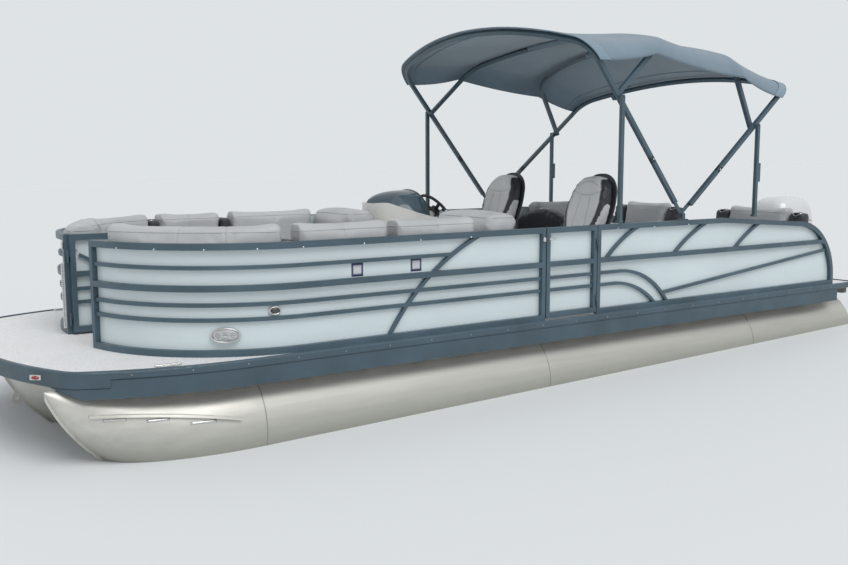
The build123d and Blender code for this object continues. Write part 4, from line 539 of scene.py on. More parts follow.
def new_tree(name, *inputs):
    """A Geometry Nodes tree with its input and output nodes, and named inputs."""
    tree = bpy.data.node_groups.new(name, "GeometryNodeTree")
    tree.interface.new_socket("Geometry", in_out="INPUT", socket_type="NodeSocketGeometry")
    for label, kind in inputs:
        tree.interface.new_socket(label, in_out="INPUT", socket_type="NodeSocket" + kind)
    tree.interface.new_socket("Geometry", in_out="OUTPUT", socket_type="NodeSocketGeometry")
    return tree, put(tree, "NodeGroupInput").outputs


def finish_tree(tree, given, geometry):
    """End a tree with real, smooth, painted geometry."""
    real = put(tree, "GeometryNodeRealizeInstances", {"Geometry": geometry})
    smooth = put(tree, "GeometryNodeSetShadeSmooth", {"Geometry": real.outputs["Geometry"]})
    values = {"Geometry": smooth.outputs["Geometry"], "Material": given["Finish"]}
    painted = put(tree, "GeometryNodeSetMaterial", values)
    put(tree, "NodeGroupOutput", {"Geometry": painted.outputs["Geometry"]})
    return tree


def evened_path(tree, given):
    """The path as a curve with evenly spaced points."""
    curve = put(tree, "GeometryNodeMeshToCurve", {"Mesh": given["Geometry"]})
    values = {"Curve": curve.outputs["Curve"], "Length": given["Spacing"]}
    return put(tree, "GeometryNodeResampleCurve", values, mode="LENGTH").outputs["Curve"]


def piping_tree():
    """A round bead that follows a path: piping, welds, gaskets and stripes."""
    tree, given = new_tree("piping", ("Spacing", "Float"), ("Radius", "Float"), ("Finish", "Material"))
    ring = put(tree, "GeometryNodeCurvePrimitiveCircle", {"Resolution": 7, "Radius": given["Radius"]})
    values = {"Curve": evened_path(tree, given), "Profile Curve": ring.outputs["Curve"], "Fill Caps": True}
    return finish_tree(tree, given, put(tree, "GeometryNodeCurveToMesh", values).outputs["Mesh"])


def beads_on(tree, given, points, way, segments, rings):
    """Small oval heads on points, each turned along a vector."""
    turn = put(tree, "FunctionNodeAlignRotationToVector", {"Vector": way}, axis="Z")
    head = put(tree, "GeometryNodeMeshUVSphere", {"Segments": segments, "Rings": rings, "Radius": 0.5})
    values = {"Points": points, "Instance": head.outputs["Mesh"], "Rotation": turn.outputs["Rotation"],
              "Scale": given["Bead"]}
    return finish_tree(tree, given, put(tree, "GeometryNodeInstanceOnPoints", values).outputs["Instances"])


def stitch_tree():
    """Stitches in line with a path."""
    tree, given = new_tree("stitches", ("Spacing", "Float"), ("Bead", "Vector"), ("Finish", "Material"))
    tangent = put(tree, "GeometryNodeInputTangent").outputs["Tangent"]
    return beads_on(tree, given, evened_path(tree, given), tangent, 5, 3)


def head_tree():
    """Screw, rivet and snap heads on points, each facing along the point's own vector."""
    tree, given = new_tree("heads", ("Bead", "Vector"), ("Finish", "Material"))
    out = put(tree, "GeometryNodeInputNamedAttribute", {"Name": "out"}, data_type="FLOAT_VECTOR")
    return beads_on(tree, given, given["Geometry"], out.outputs["Attribute"], 12, 6)


PIPING = piping_tree()
STITCHES = stitch_tree()
HEADS = head_tree()


def grown(name, tree, mesh, body, slot, **sizes):
    """Run a tree on a mesh of paths or points and keep one plain mesh that rides on a body."""
    carrier = link(name + "_path", mesh)
    step = modify(carrier, "NODES", node_group=tree)
    for item in tree.interface.items_tree:
        if item.in_out == "INPUT" and item.name in sizes:
            step[item.identifier] = sizes[item.name]
    made = evaluated(carrier)
    bpy.data.objects.remove(carrier)
    return riding(link(name, made), body)


def path_mesh(paths):
    """A mesh of edges only, one run for each path; a path that ends where it starts is closed."""
    verts, edges = [], []
    for path in paths:
        points = [Vector(p) for p in path]
        first = len(verts)
        closed = (points[0] - points[-1]).length < 1e-6
        if closed:
            points.pop()
        verts += points
        edges += [(first + i, first + i + 1) for i in range(len(points) - 1)]
        if closed:
            edges.append((len(verts) - 1, first))
    return plain_mesh("path", verts, edges)


def sliced(cuts):
    """Edge runs where planes cut surfaces: rows of a piece and of its plane's point and normal."""
    verts, edges = [], []
    for piece, (point, normal) in cuts:
        work = bmesh.new()
        work.from_mesh(piece.data)
        bmesh.ops.remove_doubles(work, verts=work.verts, dist=1e-5)
        every = work.verts[:] + work.edges[:] + work.faces[:]
        plane = {"plane_co": point, "plane_no": normal}
        bmesh.ops.bisect_plane(work, geom=every, clear_inner=True, clear_outer=True, **plane)
        bmesh.ops.remove_doubles(work, verts=work.verts, dist=1e-5)
        work.verts.index_update()
        first = len(verts)
        verts += [v.co[:] for v in work.verts]
        edges += [(first + e.verts[0].index, first + e.verts[1].index) for e in work.edges]
        work.free()
    return plain_mesh("path", verts, edges)


def piped(name, paths, radius, finish, slot, body="root", spacing=0.012):
    return grown(name, PIPING, path_mesh(paths), body, slot, Spacing=spacing, Radius=radius, Finish=finish)


def stitched(name, paths, bead, finish, slot, body, spacing):
    return grown(name, STITCHES, path_mesh(paths), body, slot, Spacing=spacing, Bead=bead, Finish=finish)


def headed(name, spots, bead, finish, slot, body="root"):
    """Heads at (point, outward vector) spots; bead is their width, height and thickness."""
    mesh = plain_mesh("spots", [point for point, _ in spots])
    out = mesh.attributes.new("out", "FLOAT_VECTOR", "POINT")
    for row, (_, way) in zip(out.data, spots):
        row.vector = way
    return grown(name, HEADS, mesh, body, slot, Bead=bead, Finish=finish)


def skin_of(piece):
    return BVHTree.FromObject(piece, bpy.context.evaluated_depsgraph_get())


def touch(skin, start, way):
    """Where a ray meets a surface, and the surface's outward vector there."""
    spot, normal, _, _ = skin.ray_cast(Vector(start), Vector(way).normalized())
    if spot is not None and normal.dot(Vector(way)) > 0:
        normal = -normal
    return spot, normal


def laid(skin, points, way, lift=0.0):
    """Points dropped onto a surface along one direction, lifted a little off it."""
    found = [touch(skin, p, way) for p in points]
    return [spot + normal * lift for spot, normal in found if spot is not None]


DECAL_LIFT = 0.0004


def decal(name, skin, rows, way, thick, finish, body="root", lifts=None):
    """A thin piece laid on a surface: rows of points cast along one direction."""
    lines, ways = [], []
    for row, lift in zip(rows, lifts or [0.0] * len(rows)):
        line = []
        for point in row:
            spot, normal = touch(skin, point, way)
            if spot is None:
                spot, normal, _, _ = skin.find_nearest(Vector(point))
            line.append(spot + normal * (DECAL_LIFT + lift))
            ways.append(normal)
        lines.append(line)
    mesh = grid_mesh(name, lines, finish)
    if sum(p.normal.dot(ways[p.vertices[0]]) for p in mesh.polygons) < 0:
        mesh.flip_normals()
    return riding(thickened(name, mesh, thick, 1), body)


def patch_rows(centre, across, up, wide, high, columns=8, lines=6):
    """Rows of points that cover a rectangle."""
    return [[Vector(centre) + across * wide * (j / columns - 0.5) + up * high * (i / lines - 0.5)
             for j in range(columns + 1)] for i in range(lines + 1)]


def solid_piece(name, work, finish, body="root", bevel=0.0):
    """Turn a bmesh into a piece, with its edges rounded by a bevel."""
    bmesh.ops.recalc_face_normals(work, faces=work.faces)
    mesh = bpy.data.meshes.new(name)
    work.to_mesh(mesh)
    work.free()
    mesh.materials.append(finish)
    piece = link(name, mesh)
    if bevel:
        modify(piece, "BEVEL", width=bevel, segments=3, limit_method="ANGLE")
        baked(piece)
    piece.data.shade_smooth()
    return riding(piece, body)


def placed(work, verts, size, turn, centre):
    """Scale, turn and move new points of a bmesh."""
    bmesh.ops.scale(work, vec=size, verts=verts)
    if turn is not None:
        bmesh.ops.rotate(work, cent=(0, 0, 0), matrix=turn, verts=verts)
    bmesh.ops.translate(work, vec=centre, verts=verts)


def block_piece(name, blocks, finish, bevel, body="root"):
    """Rounded blocks as one piece: rows of centre, size and turn."""
    work = bmesh.new()
    for centre, size, turn in blocks:
        placed(work, bmesh.ops.create_cube(work, size=1)["verts"], size, turn, centre)
    return solid_piece(name, work, finish, body, bevel)


# Pads: their grid, how far they swell, and the lines on them
PAD_VOXEL = 0.018
PAD_SMOOTH = 3
PAD_CAP = 0.016
PAD_FRAMES = 20
PAD_PRESSURE = 4
PAD_MASS = 0.3
PAD_STIFFNESS = 15
SEAM_PRESS = (0.004, 0.014)
CHANNEL_PRESS = (0.006, 0.018)
WELT_R = 0.0032
SEAM_R = 0.0018
PAD_BEAD = (0.0013, 0.0013, 0.0080)
BACK_LINE = 0.95
SEAT_WELT = 0.022
BACK_WELT = 0.042
FOOT_WELT = 0.012
FOOT_WELT_FROM = 0.09
STITCH_DROP = 0.011
BACK_SEAMS = {"bow_cushions_port": (1, (5.936, 5.650, 4.916, 4.240)),
              "bow_cushions_starboard": (-1, (5.900, 5.766, 5.070, 4.350))}
SEAT_SEAMS = {"bow_cushions_port": (1, (5.105, 4.350)), "bow_cushions_starboard": (-1, (5.105, 4.350))}
PAD_NODES = (("bow_cushions_port", "root", seat_vinyl, "vinyl_light"),
             ("bow_cushions_starboard", "root", seat_vinyl, "vinyl_light"),
             ("aft_cushions", "root", seat_vinyl, "vinyl_light"),
             ("seat_arms", "root", dark_vinyl, "vinyl_dark"),
             ("chair_cushions_port", "chair_port", seat_vinyl, "vinyl_light"),
             ("chair_cushions_starboard", "chair_starboard", seat_vinyl, "vinyl_light"))

# Backs of the captain's chairs: channels, headrest lines as half width, height and bend, and side bands
CHAIR_Y = {"chair_port": 0.400, "chair_starboard": -0.750}
CHAIR_FRONT = 3.2
CHAIR_STEPS = 40
CHANNEL_Y = 0.072
CHANNEL_TAPER = 0.25
CHANNEL_Z = (0.93, 0.31)
HEADREST = ((0.15, 1.255, 0.030), (0.115, 1.368, -0.040))
BAND_Z = (0.90, 0.47)
CHAIR_BAND = ((0.88, 0.098), (1.00, 0.128), (1.10, 0.160), (1.20, 0.170), (1.30, 0.150), (1.36, 0.120),
              (1.42, 0.09))
BAND_WIDE = 0.040

Cushion = namedtuple("Cushion", "pad node body finish slot floor")


def top_of(pad):
    return max(v.co.z for v in pad.data.vertices)


def low_of(mesh):
    return min(v.co.z for v in mesh.vertices)


def rounded_pad(name, mesh):
    """A pad with even quads and soft edges, cut from its solid."""
    piece = link(name, mesh)
    modify(piece, "REMESH", mode="VOXEL", voxel_size=PAD_VOXEL)
    modify(piece, "SMOOTH", factor=0.5, iterations=PAD_SMOOTH)
    baked(piece)
    return piece


def stuff(pads):
    """Blow the pads up like stuffed covers, all at once, and keep each point near where it was."""
    rests = {}
    for pad in pads:
        rests[pad.name] = [v.co.copy() for v in pad.data.vertices]
        cloth = pad.modifiers.new("cover", "CLOTH")
        cloth.settings.use_pressure = True
        cloth.settings.uniform_pressure_force = PAD_PRESSURE
        cloth.settings.mass = PAD_MASS
        cloth.settings.tension_stiffness = PAD_STIFFNESS
        cloth.settings.effector_weights.gravity = 0
        cloth.point_cache.frame_start = 1
        cloth.point_cache.frame_end = PAD_FRAMES
    for step in range(1, PAD_FRAMES + 1):
        bpy.context.scene.frame_set(step)
    for pad in pads:
        mesh = baked(pad)
        for vert, rest in zip(mesh.vertices, rests[pad.name]):
            move = vert.co - rest
            if move.length > PAD_CAP:
                vert.co = rest + move.normalized() * PAD_CAP
    bpy.context.scene.frame_set(1)


def settle(pad, floor):
    """Keep a pad's underside flat on what carries it."""
    for vert in pad.data.vertices:
        vert.co.z = max(vert.co.z, floor)


def press(pad, distance, deep, reach):
    """Press a shallow channel into a pad, where a point's distance from it is short."""
    for vert in pad.data.vertices:
        off = distance(vert.co)
        if off < reach:
            vert.co -= vert.normal * deep * (1 - off / reach) ** 2
    pad.data.update()


def from_plane(point, normal):
    """A function that gives a place's distance from a plane."""
    point = Vector(point)
    normal = Vector(normal).normalized()
    return lambda place: abs((place - point).dot(normal))


def from_path(path):
    """A function that gives a place's distance from the points of a path."""
    tree = KDTree(len(path))
    for i, p in enumerate(path):
        tree.insert(p, i)
    tree.balance()
    return lambda place: tree.find(place)[2]


def pad_cuts(pad, node):
    """Planes of the welts and of the cross seams of one pad."""
    top, low = top_of(pad), low_of(pad.data)
    if node.startswith("chair") and top > BACK_LINE:
        return [], []
    drop = BACK_WELT if top > BACK_LINE else SEAT_WELT
    welts = [((0, 0, top - drop), UP)]
    if top <= BACK_LINE and top - low > FOOT_WELT_FROM:
        welts.append(((0, 0, low + FOOT_WELT), UP))
    side, places = (BACK_SEAMS if top > BACK_LINE else SEAT_SEAMS).get(node, (1, ()))
    return welts, [((*along(s, 0, side), 1), UP.cross(facing(s, side))) for s in places]


def pad_trimmings(cushions):
    """Welts, seams and stitches of the pads, one piece of each for each cushion group."""
    groups = {}
    for cushion in cushions:
        welts, seams = pad_cuts(cushion.pad, cushion.node)
        for point, normal in seams:
            press(cushion.pad, from_plane(point, normal), *SEAM_PRESS)
        _, welt_cuts, seam_cuts = groups.setdefault(cushion.node, (cushion, [], []))
        welt_cuts += [(cushion.pad, cut) for cut in welts]
        seam_cuts += [(cushion.pad, cut) for cut in seams]
    for node, (first, welts, seams) in groups.items():
        finish = piping_dark if first.finish is dark_vinyl else piping_light
        ride = (first.body, first.slot)
        if welts:
            grown(f"{node}_welts", PIPING, sliced(welts), *ride, Spacing=0.030, Radius=WELT_R, Finish=finish)
            lower = [(pad, ((0, 0, point[2] - STITCH_DROP), normal)) for pad, (point, normal) in welts]
            grown(f"{node}_stitches", STITCHES, sliced(lower), *ride, Spacing=0.020, Bead=PAD_BEAD, Finish=finish)
        if seams:
            grown(f"{node}_seams", PIPING, sliced(seams), *ride, Spacing=0.012, Radius=SEAM_R,
                  Finish=piping_light)


def between(table, at):
    """Straight-line value of a table of (position, value) rows."""
    for (a, va), (b, vb) in zip(table, table[1:]):
        if at <= b:
            return va + (vb - va) * max(at - a, 0) / (b - a)
    return table[-1][1]


def chair_lines(y):
    """Channels and headrest lines of a chair's back, in front of it."""
    steps = shares(CHAIR_STEPS)
    low, rise = CHANNEL_Z
    lines = []
    for side, _ in SIDES:
        halves = [side * CHANNEL_Y * (1 - CHANNEL_TAPER * t) for t in steps]
        lines.append([(CHAIR_FRONT, y + half, low + rise * t) for t, half in zip(steps, halves)])
    for half, z, bend in HEADREST:
        lines.append([(CHAIR_FRONT, y + half * (2 * t - 1), z + bend * (2 * t - 1) ** 2) for t in steps])
    return lines


def band_edges(y):
    """Inner edges of the dark side bands of a chair's back, in front of it."""
    heights = [BAND_Z[0] + BAND_Z[1] * t for t in shares(CHAIR_STEPS)]
    return [[(CHAIR_FRONT, y + side * between(CHAIR_BAND, z), z) for z in heights] for side, _ in SIDES]


def chair_trimmings(cushions):
    """Channels, headrest lines and dark side bands of the captain's chairs."""
    for pad, node, body, _, slot, _ in cushions:
        if not node.startswith("chair") or top_of(pad) < BACK_LINE:
            continue
        y = CHAIR_Y[body]
        skin = skin_of(pad)
        lines = chair_lines(y)
        paths = [laid(skin, line, -AHEAD) for line in lines]
        edges = [laid(skin, edge, -AHEAD) for edge in band_edges(y)]
        for path in paths:
            press(pad, from_path(path), *CHANNEL_PRESS)
        for path in edges:
            press(pad, from_path(path), *SEAM_PRESS)
        pad.data.materials.clear()
        pad.data.materials.append(chair_face)
        pad.data.materials.append(dark_vinyl)
        for face in pad.data.polygons:
            over = abs(face.center.y - y) - between(CHAIR_BAND, face.center.z)
            if 0 < over < BAND_WIDE or face.normal.x < -0.5:
                face.material_index = 1
        skin = skin_of(pad)
        paths = [laid(skin, line, -AHEAD, 0.0002) for line in lines]
        piped(f"{node}_lines", paths, 0.0016, piping_light, slot, body, 0.01)
        paths = [laid(skin, [(CHAIR_FRONT, p.y, p.z) for p in edge], -AHEAD, 0.001) for edge in edges]
        piped(f"{node}_band_piping", paths, 0.0034, piping_light, slot, body, 0.01)


def upholster():
    """Stuffed, seamed pads in place of the cushions' solids."""
    cushions = []
    for node, body, finish, slot in PAD_NODES:
        for i, mesh in enumerate(islands(node)):
            floor = low_of(mesh)
            cushions.append(Cushion(rounded_pad(f"{node}_{i + 1}", mesh), node, body, finish, slot, floor))
    stuff([cushion.pad for cushion in cushions])
    for cushion in cushions:
        pad = cushion.pad
        settle(pad, cushion.floor)
        pad.data.materials.clear()
        pad.data.materials.append(cushion.finish)
        modify(pad, "SUBSURF", levels=1)
        baked(pad)
    pad_trimmings(cushions)
    chair_trimmings(cushions)
    for pad, node, body, _, slot, _ in cushions:
        pad.data.shade_smooth()
        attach(pad, body)
        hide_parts(node)
    return [cushion.pad for cushion in cushions]


# Canopy hems, sleeves of the mid bows, and collars as end, side, share of the leg and body
HEM_REACH_ROW = 6
HEM_FINER = 4
HEM_WIDE = 0.095
HEM_LINES = 8
HEM_LIFT = 0.0026
HEM_PUCKER = 0.0012
HEM_CORD_R = 0.0042
HEM_BEAD = (0.0022, 0.0022, 0.010)
SLEEVE_HALF = 0.028
SLEEVE_POINTS = 121
SLEEVE_SECTION = ((-0.0235, 0.002), (-0.0165, -0.0140), (0, -0.0205), (0.0165, -0.0140), (0.0235, 0.002))
SLEEVES = (("front_mid_sleeve", FRONT_CROSS, FRONT_MID_CORNER, BOW_RISE, 0.50, 0.014, "front_mid_bow"),
           ("rear_mid_sleeve", REAR_CROSS, REAR_MID_CORNER, REAR_MID_RISE, 0.38, 0.021, "rear_mid_bow"))
COLLAR_R = 0.0205
COLLAR_HALF = 0.026
COLLARS = (("front_collar_port", FRONT_CORNER, 1, 0.38, "front_bow"),
           ("rear_collar_port", REAR_CORNER, 1, 0.37, "root"),
           ("front_collar_starboard", FRONT_CORNER, -1, 0.395, "front_bow"),
           ("rear_collar_starboard", REAR_CORNER, -1, 0.365, "root"))


def hoop_points(half, foot, shoulder, grow, count):
    """Points along a bow's outline in its own plane, evenly spaced from one foot to the other."""
    arc_r = (half ** 2 + CROWN ** 2) / (2 * CROWN)
    centre = shoulder + CROWN - arc_r
    top, wide, bend = arc_r + grow, half + grow, BOW_BEND_R + grow
    inner_x = wide - bend
    inner_y = centre + math.sqrt((top - bend) ** 2 - inner_x ** 2)
    turn = math.atan2(inner_y - centre, inner_x)
    leg = max(inner_y - foot, 0)
    lengths = [leg, bend * turn, top * (math.pi / 2 - turn)]
    total = sum(lengths)
    points = []
    for i in range(count):
        share = abs(2 * i / (count - 1) - 1)
        side = 1 if i >= count / 2 else -1
        at = (1 - share) * total
        if at <= lengths[0]:
            x, y = wide, foot + at
        elif at <= lengths[0] + lengths[1]:
            angle = (at - lengths[0]) / bend
            x, y = inner_x + bend * math.cos(angle), inner_y + bend * math.sin(angle)
        else:
            angle = turn + (at - lengths[0] - lengths[1]) / top
            x, y = top * math.cos(angle), centre + top * math.sin(angle)
        points.append((side * x, y))
    return points


def hoop_of(start, end, rise, grow, count):
    """Points of a bow's outline in the boat's frame; the bow's plane runs from start to end in side view."""
    shoulder = math.dist(start, end) + rise
    angle = math.atan2(end[1] - start[1], end[0] - start[0])
    points = []
    for y, out in hoop_points(MAIN_Y, shoulder - CANOPY_DROP, shoulder, grow, count):
        points.append(Vector((start[0] + out * math.cos(angle), y, start[1] + out * math.sin(angle))))
    return points


def canopy_rows():
    """Rows of points across the cloth, from the front hem to the rear hem."""
    table = ((PIVOT, FRONT_CORNER, BOW_RISE), (FRONT_CROSS, FRONT_MID_CORNER, BOW_RISE),
             (REAR_CROSS, REAR_MID_CORNER, REAR_MID_RISE), (PIVOT, REAR_CORNER, BOW_RISE))
    lines = [hoop_of(start, end, rise, BOW_HALF + CANOPY_LIFT, CANOPY_ACROSS) for start, end, rise in table]
    lines[0] = [p + AHEAD * CANOPY_EDGE for p in lines[0]]
    lines[-1] = [p - AHEAD * CANOPY_EDGE for p in lines[-1]]
    rows = []
    for first, second in zip(lines, lines[1:]):
        for step in range(CANOPY_STEPS):
            t = step / CANOPY_STEPS
            dip = CANOPY_SAG * 4 * t * (1 - t)
            row = []
            for a, b in zip(first, second):
                p = a.lerp(b, t)
                p.z -= dip
                p.y *= 1 - dip * 0.5
                row.append(p)
            rows.append(row)
    rows.append(lines[-1])
    return rows


def ribbon(name, lines, finish):
    """A thin cloth sheet through rows of points."""
    mesh = grid_mesh(name, lines, finish)
    work = bmesh.new()
    work.from_mesh(mesh)
    bmesh.ops.recalc_face_normals(work, faces=work.faces)
    work.to_mesh(mesh)
    work.free()
    return thickened(name, mesh, CANOPY_THICK, 0)


def hem_line(edge, inner, t):
    """One puckered line along a hem, at a share t of its width in from the edge."""
    line = []
    for j in range(HEM_FINER * (len(edge) - 1) + 1):
        at = j / HEM_FINER
        first = min(int(at), len(edge) - 2)
        a = edge[first].lerp(edge[first + 1], at - first)
        b = inner[first].lerp(inner[first + 1], at - first)
        way = (b - a).normalized()
        out = way.cross((edge[first + 1] - edge[first]).normalized())
        if out.z + abs(out.y) * 0.2 * (1 if out.y * a.y > 0 else -1) < 0:
            out = -out
        wave = math.sin(j * 1.9 + 2.3 * math.sin(j * 0.37))
        pucker = wave * HEM_PUCKER * (0.35 + 0.65 * math.sin(math.pi * t))
        line.append(a + way * HEM_WIDE * t + out * (HEM_LIFT + pucker))
    return line


def hem_band(name, rows, body):
    """The doubled, puckered hem along one edge of the cloth: rows run inward from the edge."""
    lines = [hem_line(rows[0], rows[HEM_REACH_ROW], t) for t in shares(HEM_LINES - 1)]
    band = riding(ribbon(name, lines, hem_canvas), body)
    seams = [lines[-2][::2], lines[1][::2]]
    stitched(f"{name}_stitches", seams, HEM_BEAD, hem_canvas, "canopy_cloth", body, 0.018)
    piped(f"{name}_cord", [lines[0][::2]], HEM_CORD_R, hem_canvas, "canopy_cloth", body, 0.03)
    return band


def sleeve(name, start, end, rise, reach, top, body):
    """A cloth sleeve round the top of a bow, hung from the canopy, as far out as reach."""
    centre = [p for p in hoop_of(start, end, rise, 0, SLEEVE_POINTS) if abs(p.y) <= reach]
    outs = []
    for k in range(len(centre)):
        run = centre[min(k + 1, len(centre) - 1)] - centre[max(k - 1, 0)]
        out = AHEAD.cross(run).normalized()
        outs.append(-out if out.z < 0 else out)
    lines = []
    for wide, high in ((-SLEEVE_HALF, top), *SLEEVE_SECTION, (SLEEVE_HALF, top)):
        lines.append([c + AHEAD * wide + out * high * (1 + 0.05 * math.sin(3.1 * k))
                      for k, (c, out) in enumerate(zip(centre, outs))])
    return riding(ribbon(name, lines, canopy_canvas), body)


def canopy_trimmings(rows):
    """Hems, sleeves and inner piping of the canopy."""
    made = [hem_band("canopy_front_hem", rows, "cloth"), hem_band("canopy_rear_hem", rows[::-1], "root")]
    made += [sleeve(*row) for row in SLEEVES]
    for name, k, body in (("front_inner_piping", 3, "cloth"), ("rear_inner_piping", -5, "root")):
        under = [p - UP * 0.004 for p in rows[k]]
        made.append(piped(name, [under], 0.0030, hem_canvas, "canopy_cloth", body, 0.03))
    return made


def canopy_cloth():
    """The canopy, with what is sewn to it."""
    rows = canopy_rows()
    cloth = riding(ribbon("canopy_cloth", rows, canopy_canvas), "cloth")
    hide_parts("canopy")
    canopy_trimmings(rows)


def bow_collars():
    """Clamps on the legs of the main bows, where the stays and mid bows meet them."""
    for name, corner, side, share, body in COLLARS:
        foot = Vector((PIVOT[0], side * MAIN_Y, PIVOT[1]))
        head = Vector((corner[0], side * MAIN_Y, corner[1]))
        half = (head - foot).normalized() * COLLAR_HALF
        middle = foot.lerp(head, share)
        piped(name, [[middle - half, middle, middle + half]], COLLAR_R, black_trim, "rail_paint", body, 0.01)
        screw = (middle + PORT * side * COLLAR_R, PORT * side)
        headed(name + "_screw", [screw], (0.014, 0.014, 0.008), steel, "rail_paint", body)


# Hull fittings
TUBE_Y = 0.955
TUBE_Z = 0.015
WELDS_X = (5.480, 3.362, 1.136)
WELD_R = 0.3185
STRAKE_PLATES = ((5.765, 5.905, 0.121), (6.008, 6.125, 0.157), (6.222, 6.335, 0.177))
PLATE_HIGH = 0.015

# Snap studs along the fence line, and screws along the rub rails
SNAP_S = (6.306, 6.050, 5.766, 5.478, 5.214, 4.814, 4.410, 4.020, 2.700, 2.320, 1.940)
SNAP_Z = 1.045
SNAP_FROM = 0.2
SNAP_HEAD = (0.012, 0.012, 0.007)
SCREW_HEAD = (0.0075, 0.0075, 0.004)
SCREW_Z = 0.424
SCREW_FIRST = 0.1
SCREW_LAST = 6.2
SCREW_PITCH = 0.305

# Lenses on the bow corners as place along the fence, height, width, depth, finish and kind
LENSES = ((5.664, 0.562, 0.158, 0.078, lamp_lens, "docking_light"),
          (5.383, 0.690, 0.064, 0.042, lamp_dark, "ring_light"))
LENS_INSET = 0.006
LENS_SHARES = (0.01, 0.4, 0.75, 1.0)
LENS_LIFTS = (0.006, 0.0055, 0.004, 0.001)
EYE_R = 0.021
EYE_OUT = 0.040
NAV_AT = (6.635, 0.894, 0.402)
NAV_WAY = (0.62, 0.78)
NAV_HOUSING = (0.020, 0.066, 0.030)
NAV_LENS = (0.014, 0.024, 0.011)

# The light strip and its holes, whose black discs are painted shade, on the starboard gate post
BOW_POST = (6.2165, -0.130)
STRIP_AT = (0.0095, 0, 0.69)
STRIP_SIZE = (0.021, 0.003, 0.42)
HOLE_AT = (0.0115, 0.0014, 0.495)
HOLE_PITCH = 0.014
HOLES = 29

# Latches as name, body, centre and size, and stickers as place along the fence and height
LATCHES = (("bow_latch_plate", "root", (6.222, -0.130, 1.010), (0.012, 0.026, 0.050)),
           ("bow_latch_hook", "bow_gate", (6.160, -0.0935, 0.980), (0.040, 0.007, 0.016)),
           ("side_latch_bolt", "side_gate", (3.330, 1.2345, 1.000), (0.060, 0.012, 0.014)),
           ("side_latch_keep", "root", (3.402, 1.2345, 1.000), (0.022, 0.012, 0.030)))
STICKERS = ((4.846, 0.888), (4.426, 0.891))
STICKER_WIDE = 0.080
STICKER_INNER = 0.056


def tube_details():
    """Weld beads round the outer tubes and bright plates under their strakes."""
    rings = []
    for side, _ in SIDES:
        for x in WELDS_X:
            rings.append(oval((x, side * TUBE_Y, TUBE_Z), PORT, UP, WELD_R, WELD_R, 72))
    piped("tube_welds", rings, 0.0032, weld_metal, "hull_aluminium", spacing=0.02)
    for side, label in SIDES:
        skin = skin_of(NODES[f"tube_{label}"])
        for k, (x0, x1, z) in enumerate(STRAKE_PLATES):
            rows = patch_rows(((x0 + x1) / 2, side * 1.6, z), AHEAD, UP, x1 - x0, PLATE_HIGH, 8, 2)
            decal(f"strake_plate_{label}_{k + 1}", skin, rows, -PORT * side, 0.0014, steel)


def fence_heads():
    """Snap studs on the top rails and screws along the rub rails."""
    snaps, screws = [], []
    for side, label in SIDES:
        rail = skin_of(NODES[f"fence_frame_{label}"])
        trim = skin_of(NODES[f"side_trim_{label}"])
        for s in SNAP_S:
            way = facing(s, side)
            x, y = along(s, SNAP_FROM, side)
            spot, _ = touch(rail, (x, y, SNAP_Z), -way)
            if spot is not None and (Vector((x, y)) - spot.xy).length < SNAP_FROM + 0.02:
                snaps.append((spot, way))
        x = SCREW_FIRST
        while x < SCREW_LAST:
            spot, normal = touch(trim, (x, side * 2, SCREW_Z), -PORT * side)
            if spot is not None:
                screws.append((spot, normal))
            x += SCREW_PITCH
    headed("rail_snaps", snaps, SNAP_HEAD, steel, "cleat_metal")
    headed("trim_screws", screws, SCREW_HEAD, weld_metal, "cleat_metal")


def corner_lens(skin, side, label, row):
    """A lens in its bezel on one bow corner; a docking light has two bright eyes."""
    s, z, wide, high, finish, kind = row
    way = facing(s, side)
    across = UP.cross(way)
    at = Vector((*along(s, 0.3, side), z))
    rim = laid(skin, oval(at, across, UP, wide / 2, high / 2, 40), -way, 0.001)
    piped(f"{kind}_bezel_{label}", [rim], 0.0042, steel, "lamp", spacing=0.006)
    halves = (wide / 2 - LENS_INSET, high / 2 - LENS_INSET)
    rows = [oval(at, across, UP, halves[0] * share, halves[1] * share, 28) for share in LENS_SHARES]
    decal(f"{kind}_lens_{label}", skin, rows, -way, 0.002, finish, lifts=LENS_LIFTS)
    if kind == "docking_light":
        for k, shift in enumerate((-EYE_OUT, EYE_OUT)):
            eye = laid(skin, oval(at + across * shift, across, UP, EYE_R, EYE_R, 40), -way, 0.0075)
            piped(f"{kind}_eye_{label}_{k + 1}", [eye], 0.0022, lamp_glow, "lamp", spacing=0.005)


def side_light(side, label):
    """The red or green light on the bow trim."""
    trim = skin_of(NODES["end_trim"])
    at = Vector((NAV_AT[0], side * NAV_AT[1], NAV_AT[2]))
    way = Vector((NAV_WAY[0], side * NAV_WAY[1], 0)).normalized()
    spot, _ = touch(trim, at + way * 0.4, -way)
    if spot is None:
        spot = trim.find_nearest(at)[0]
    turn = Matrix((way, UP.cross(way), UP)).transposed()
    block_piece(f"nav_housing_{label}", [(spot + way * 0.006, NAV_HOUSING, turn)], steel, 0.006)
    lens = bmesh.new()
    made = bmesh.ops.create_uvsphere(lens, u_segments=16, v_segments=10, radius=1)["verts"]
    placed(lens, made, NAV_LENS, turn, spot + way * 0.012)
    solid_piece(f"nav_lens_{label}", lens, red_lens if side > 0 else green_lens)


def lamp_details():
    """Bezels and lenses of the bow lights, and the side lights on the bow trim."""
    skin = skin_of(NODES["corner_lights"])
    for side, label in SIDES:
        for row in LENSES:
            corner_lens(skin, side, label, row)
        side_light(side, label)


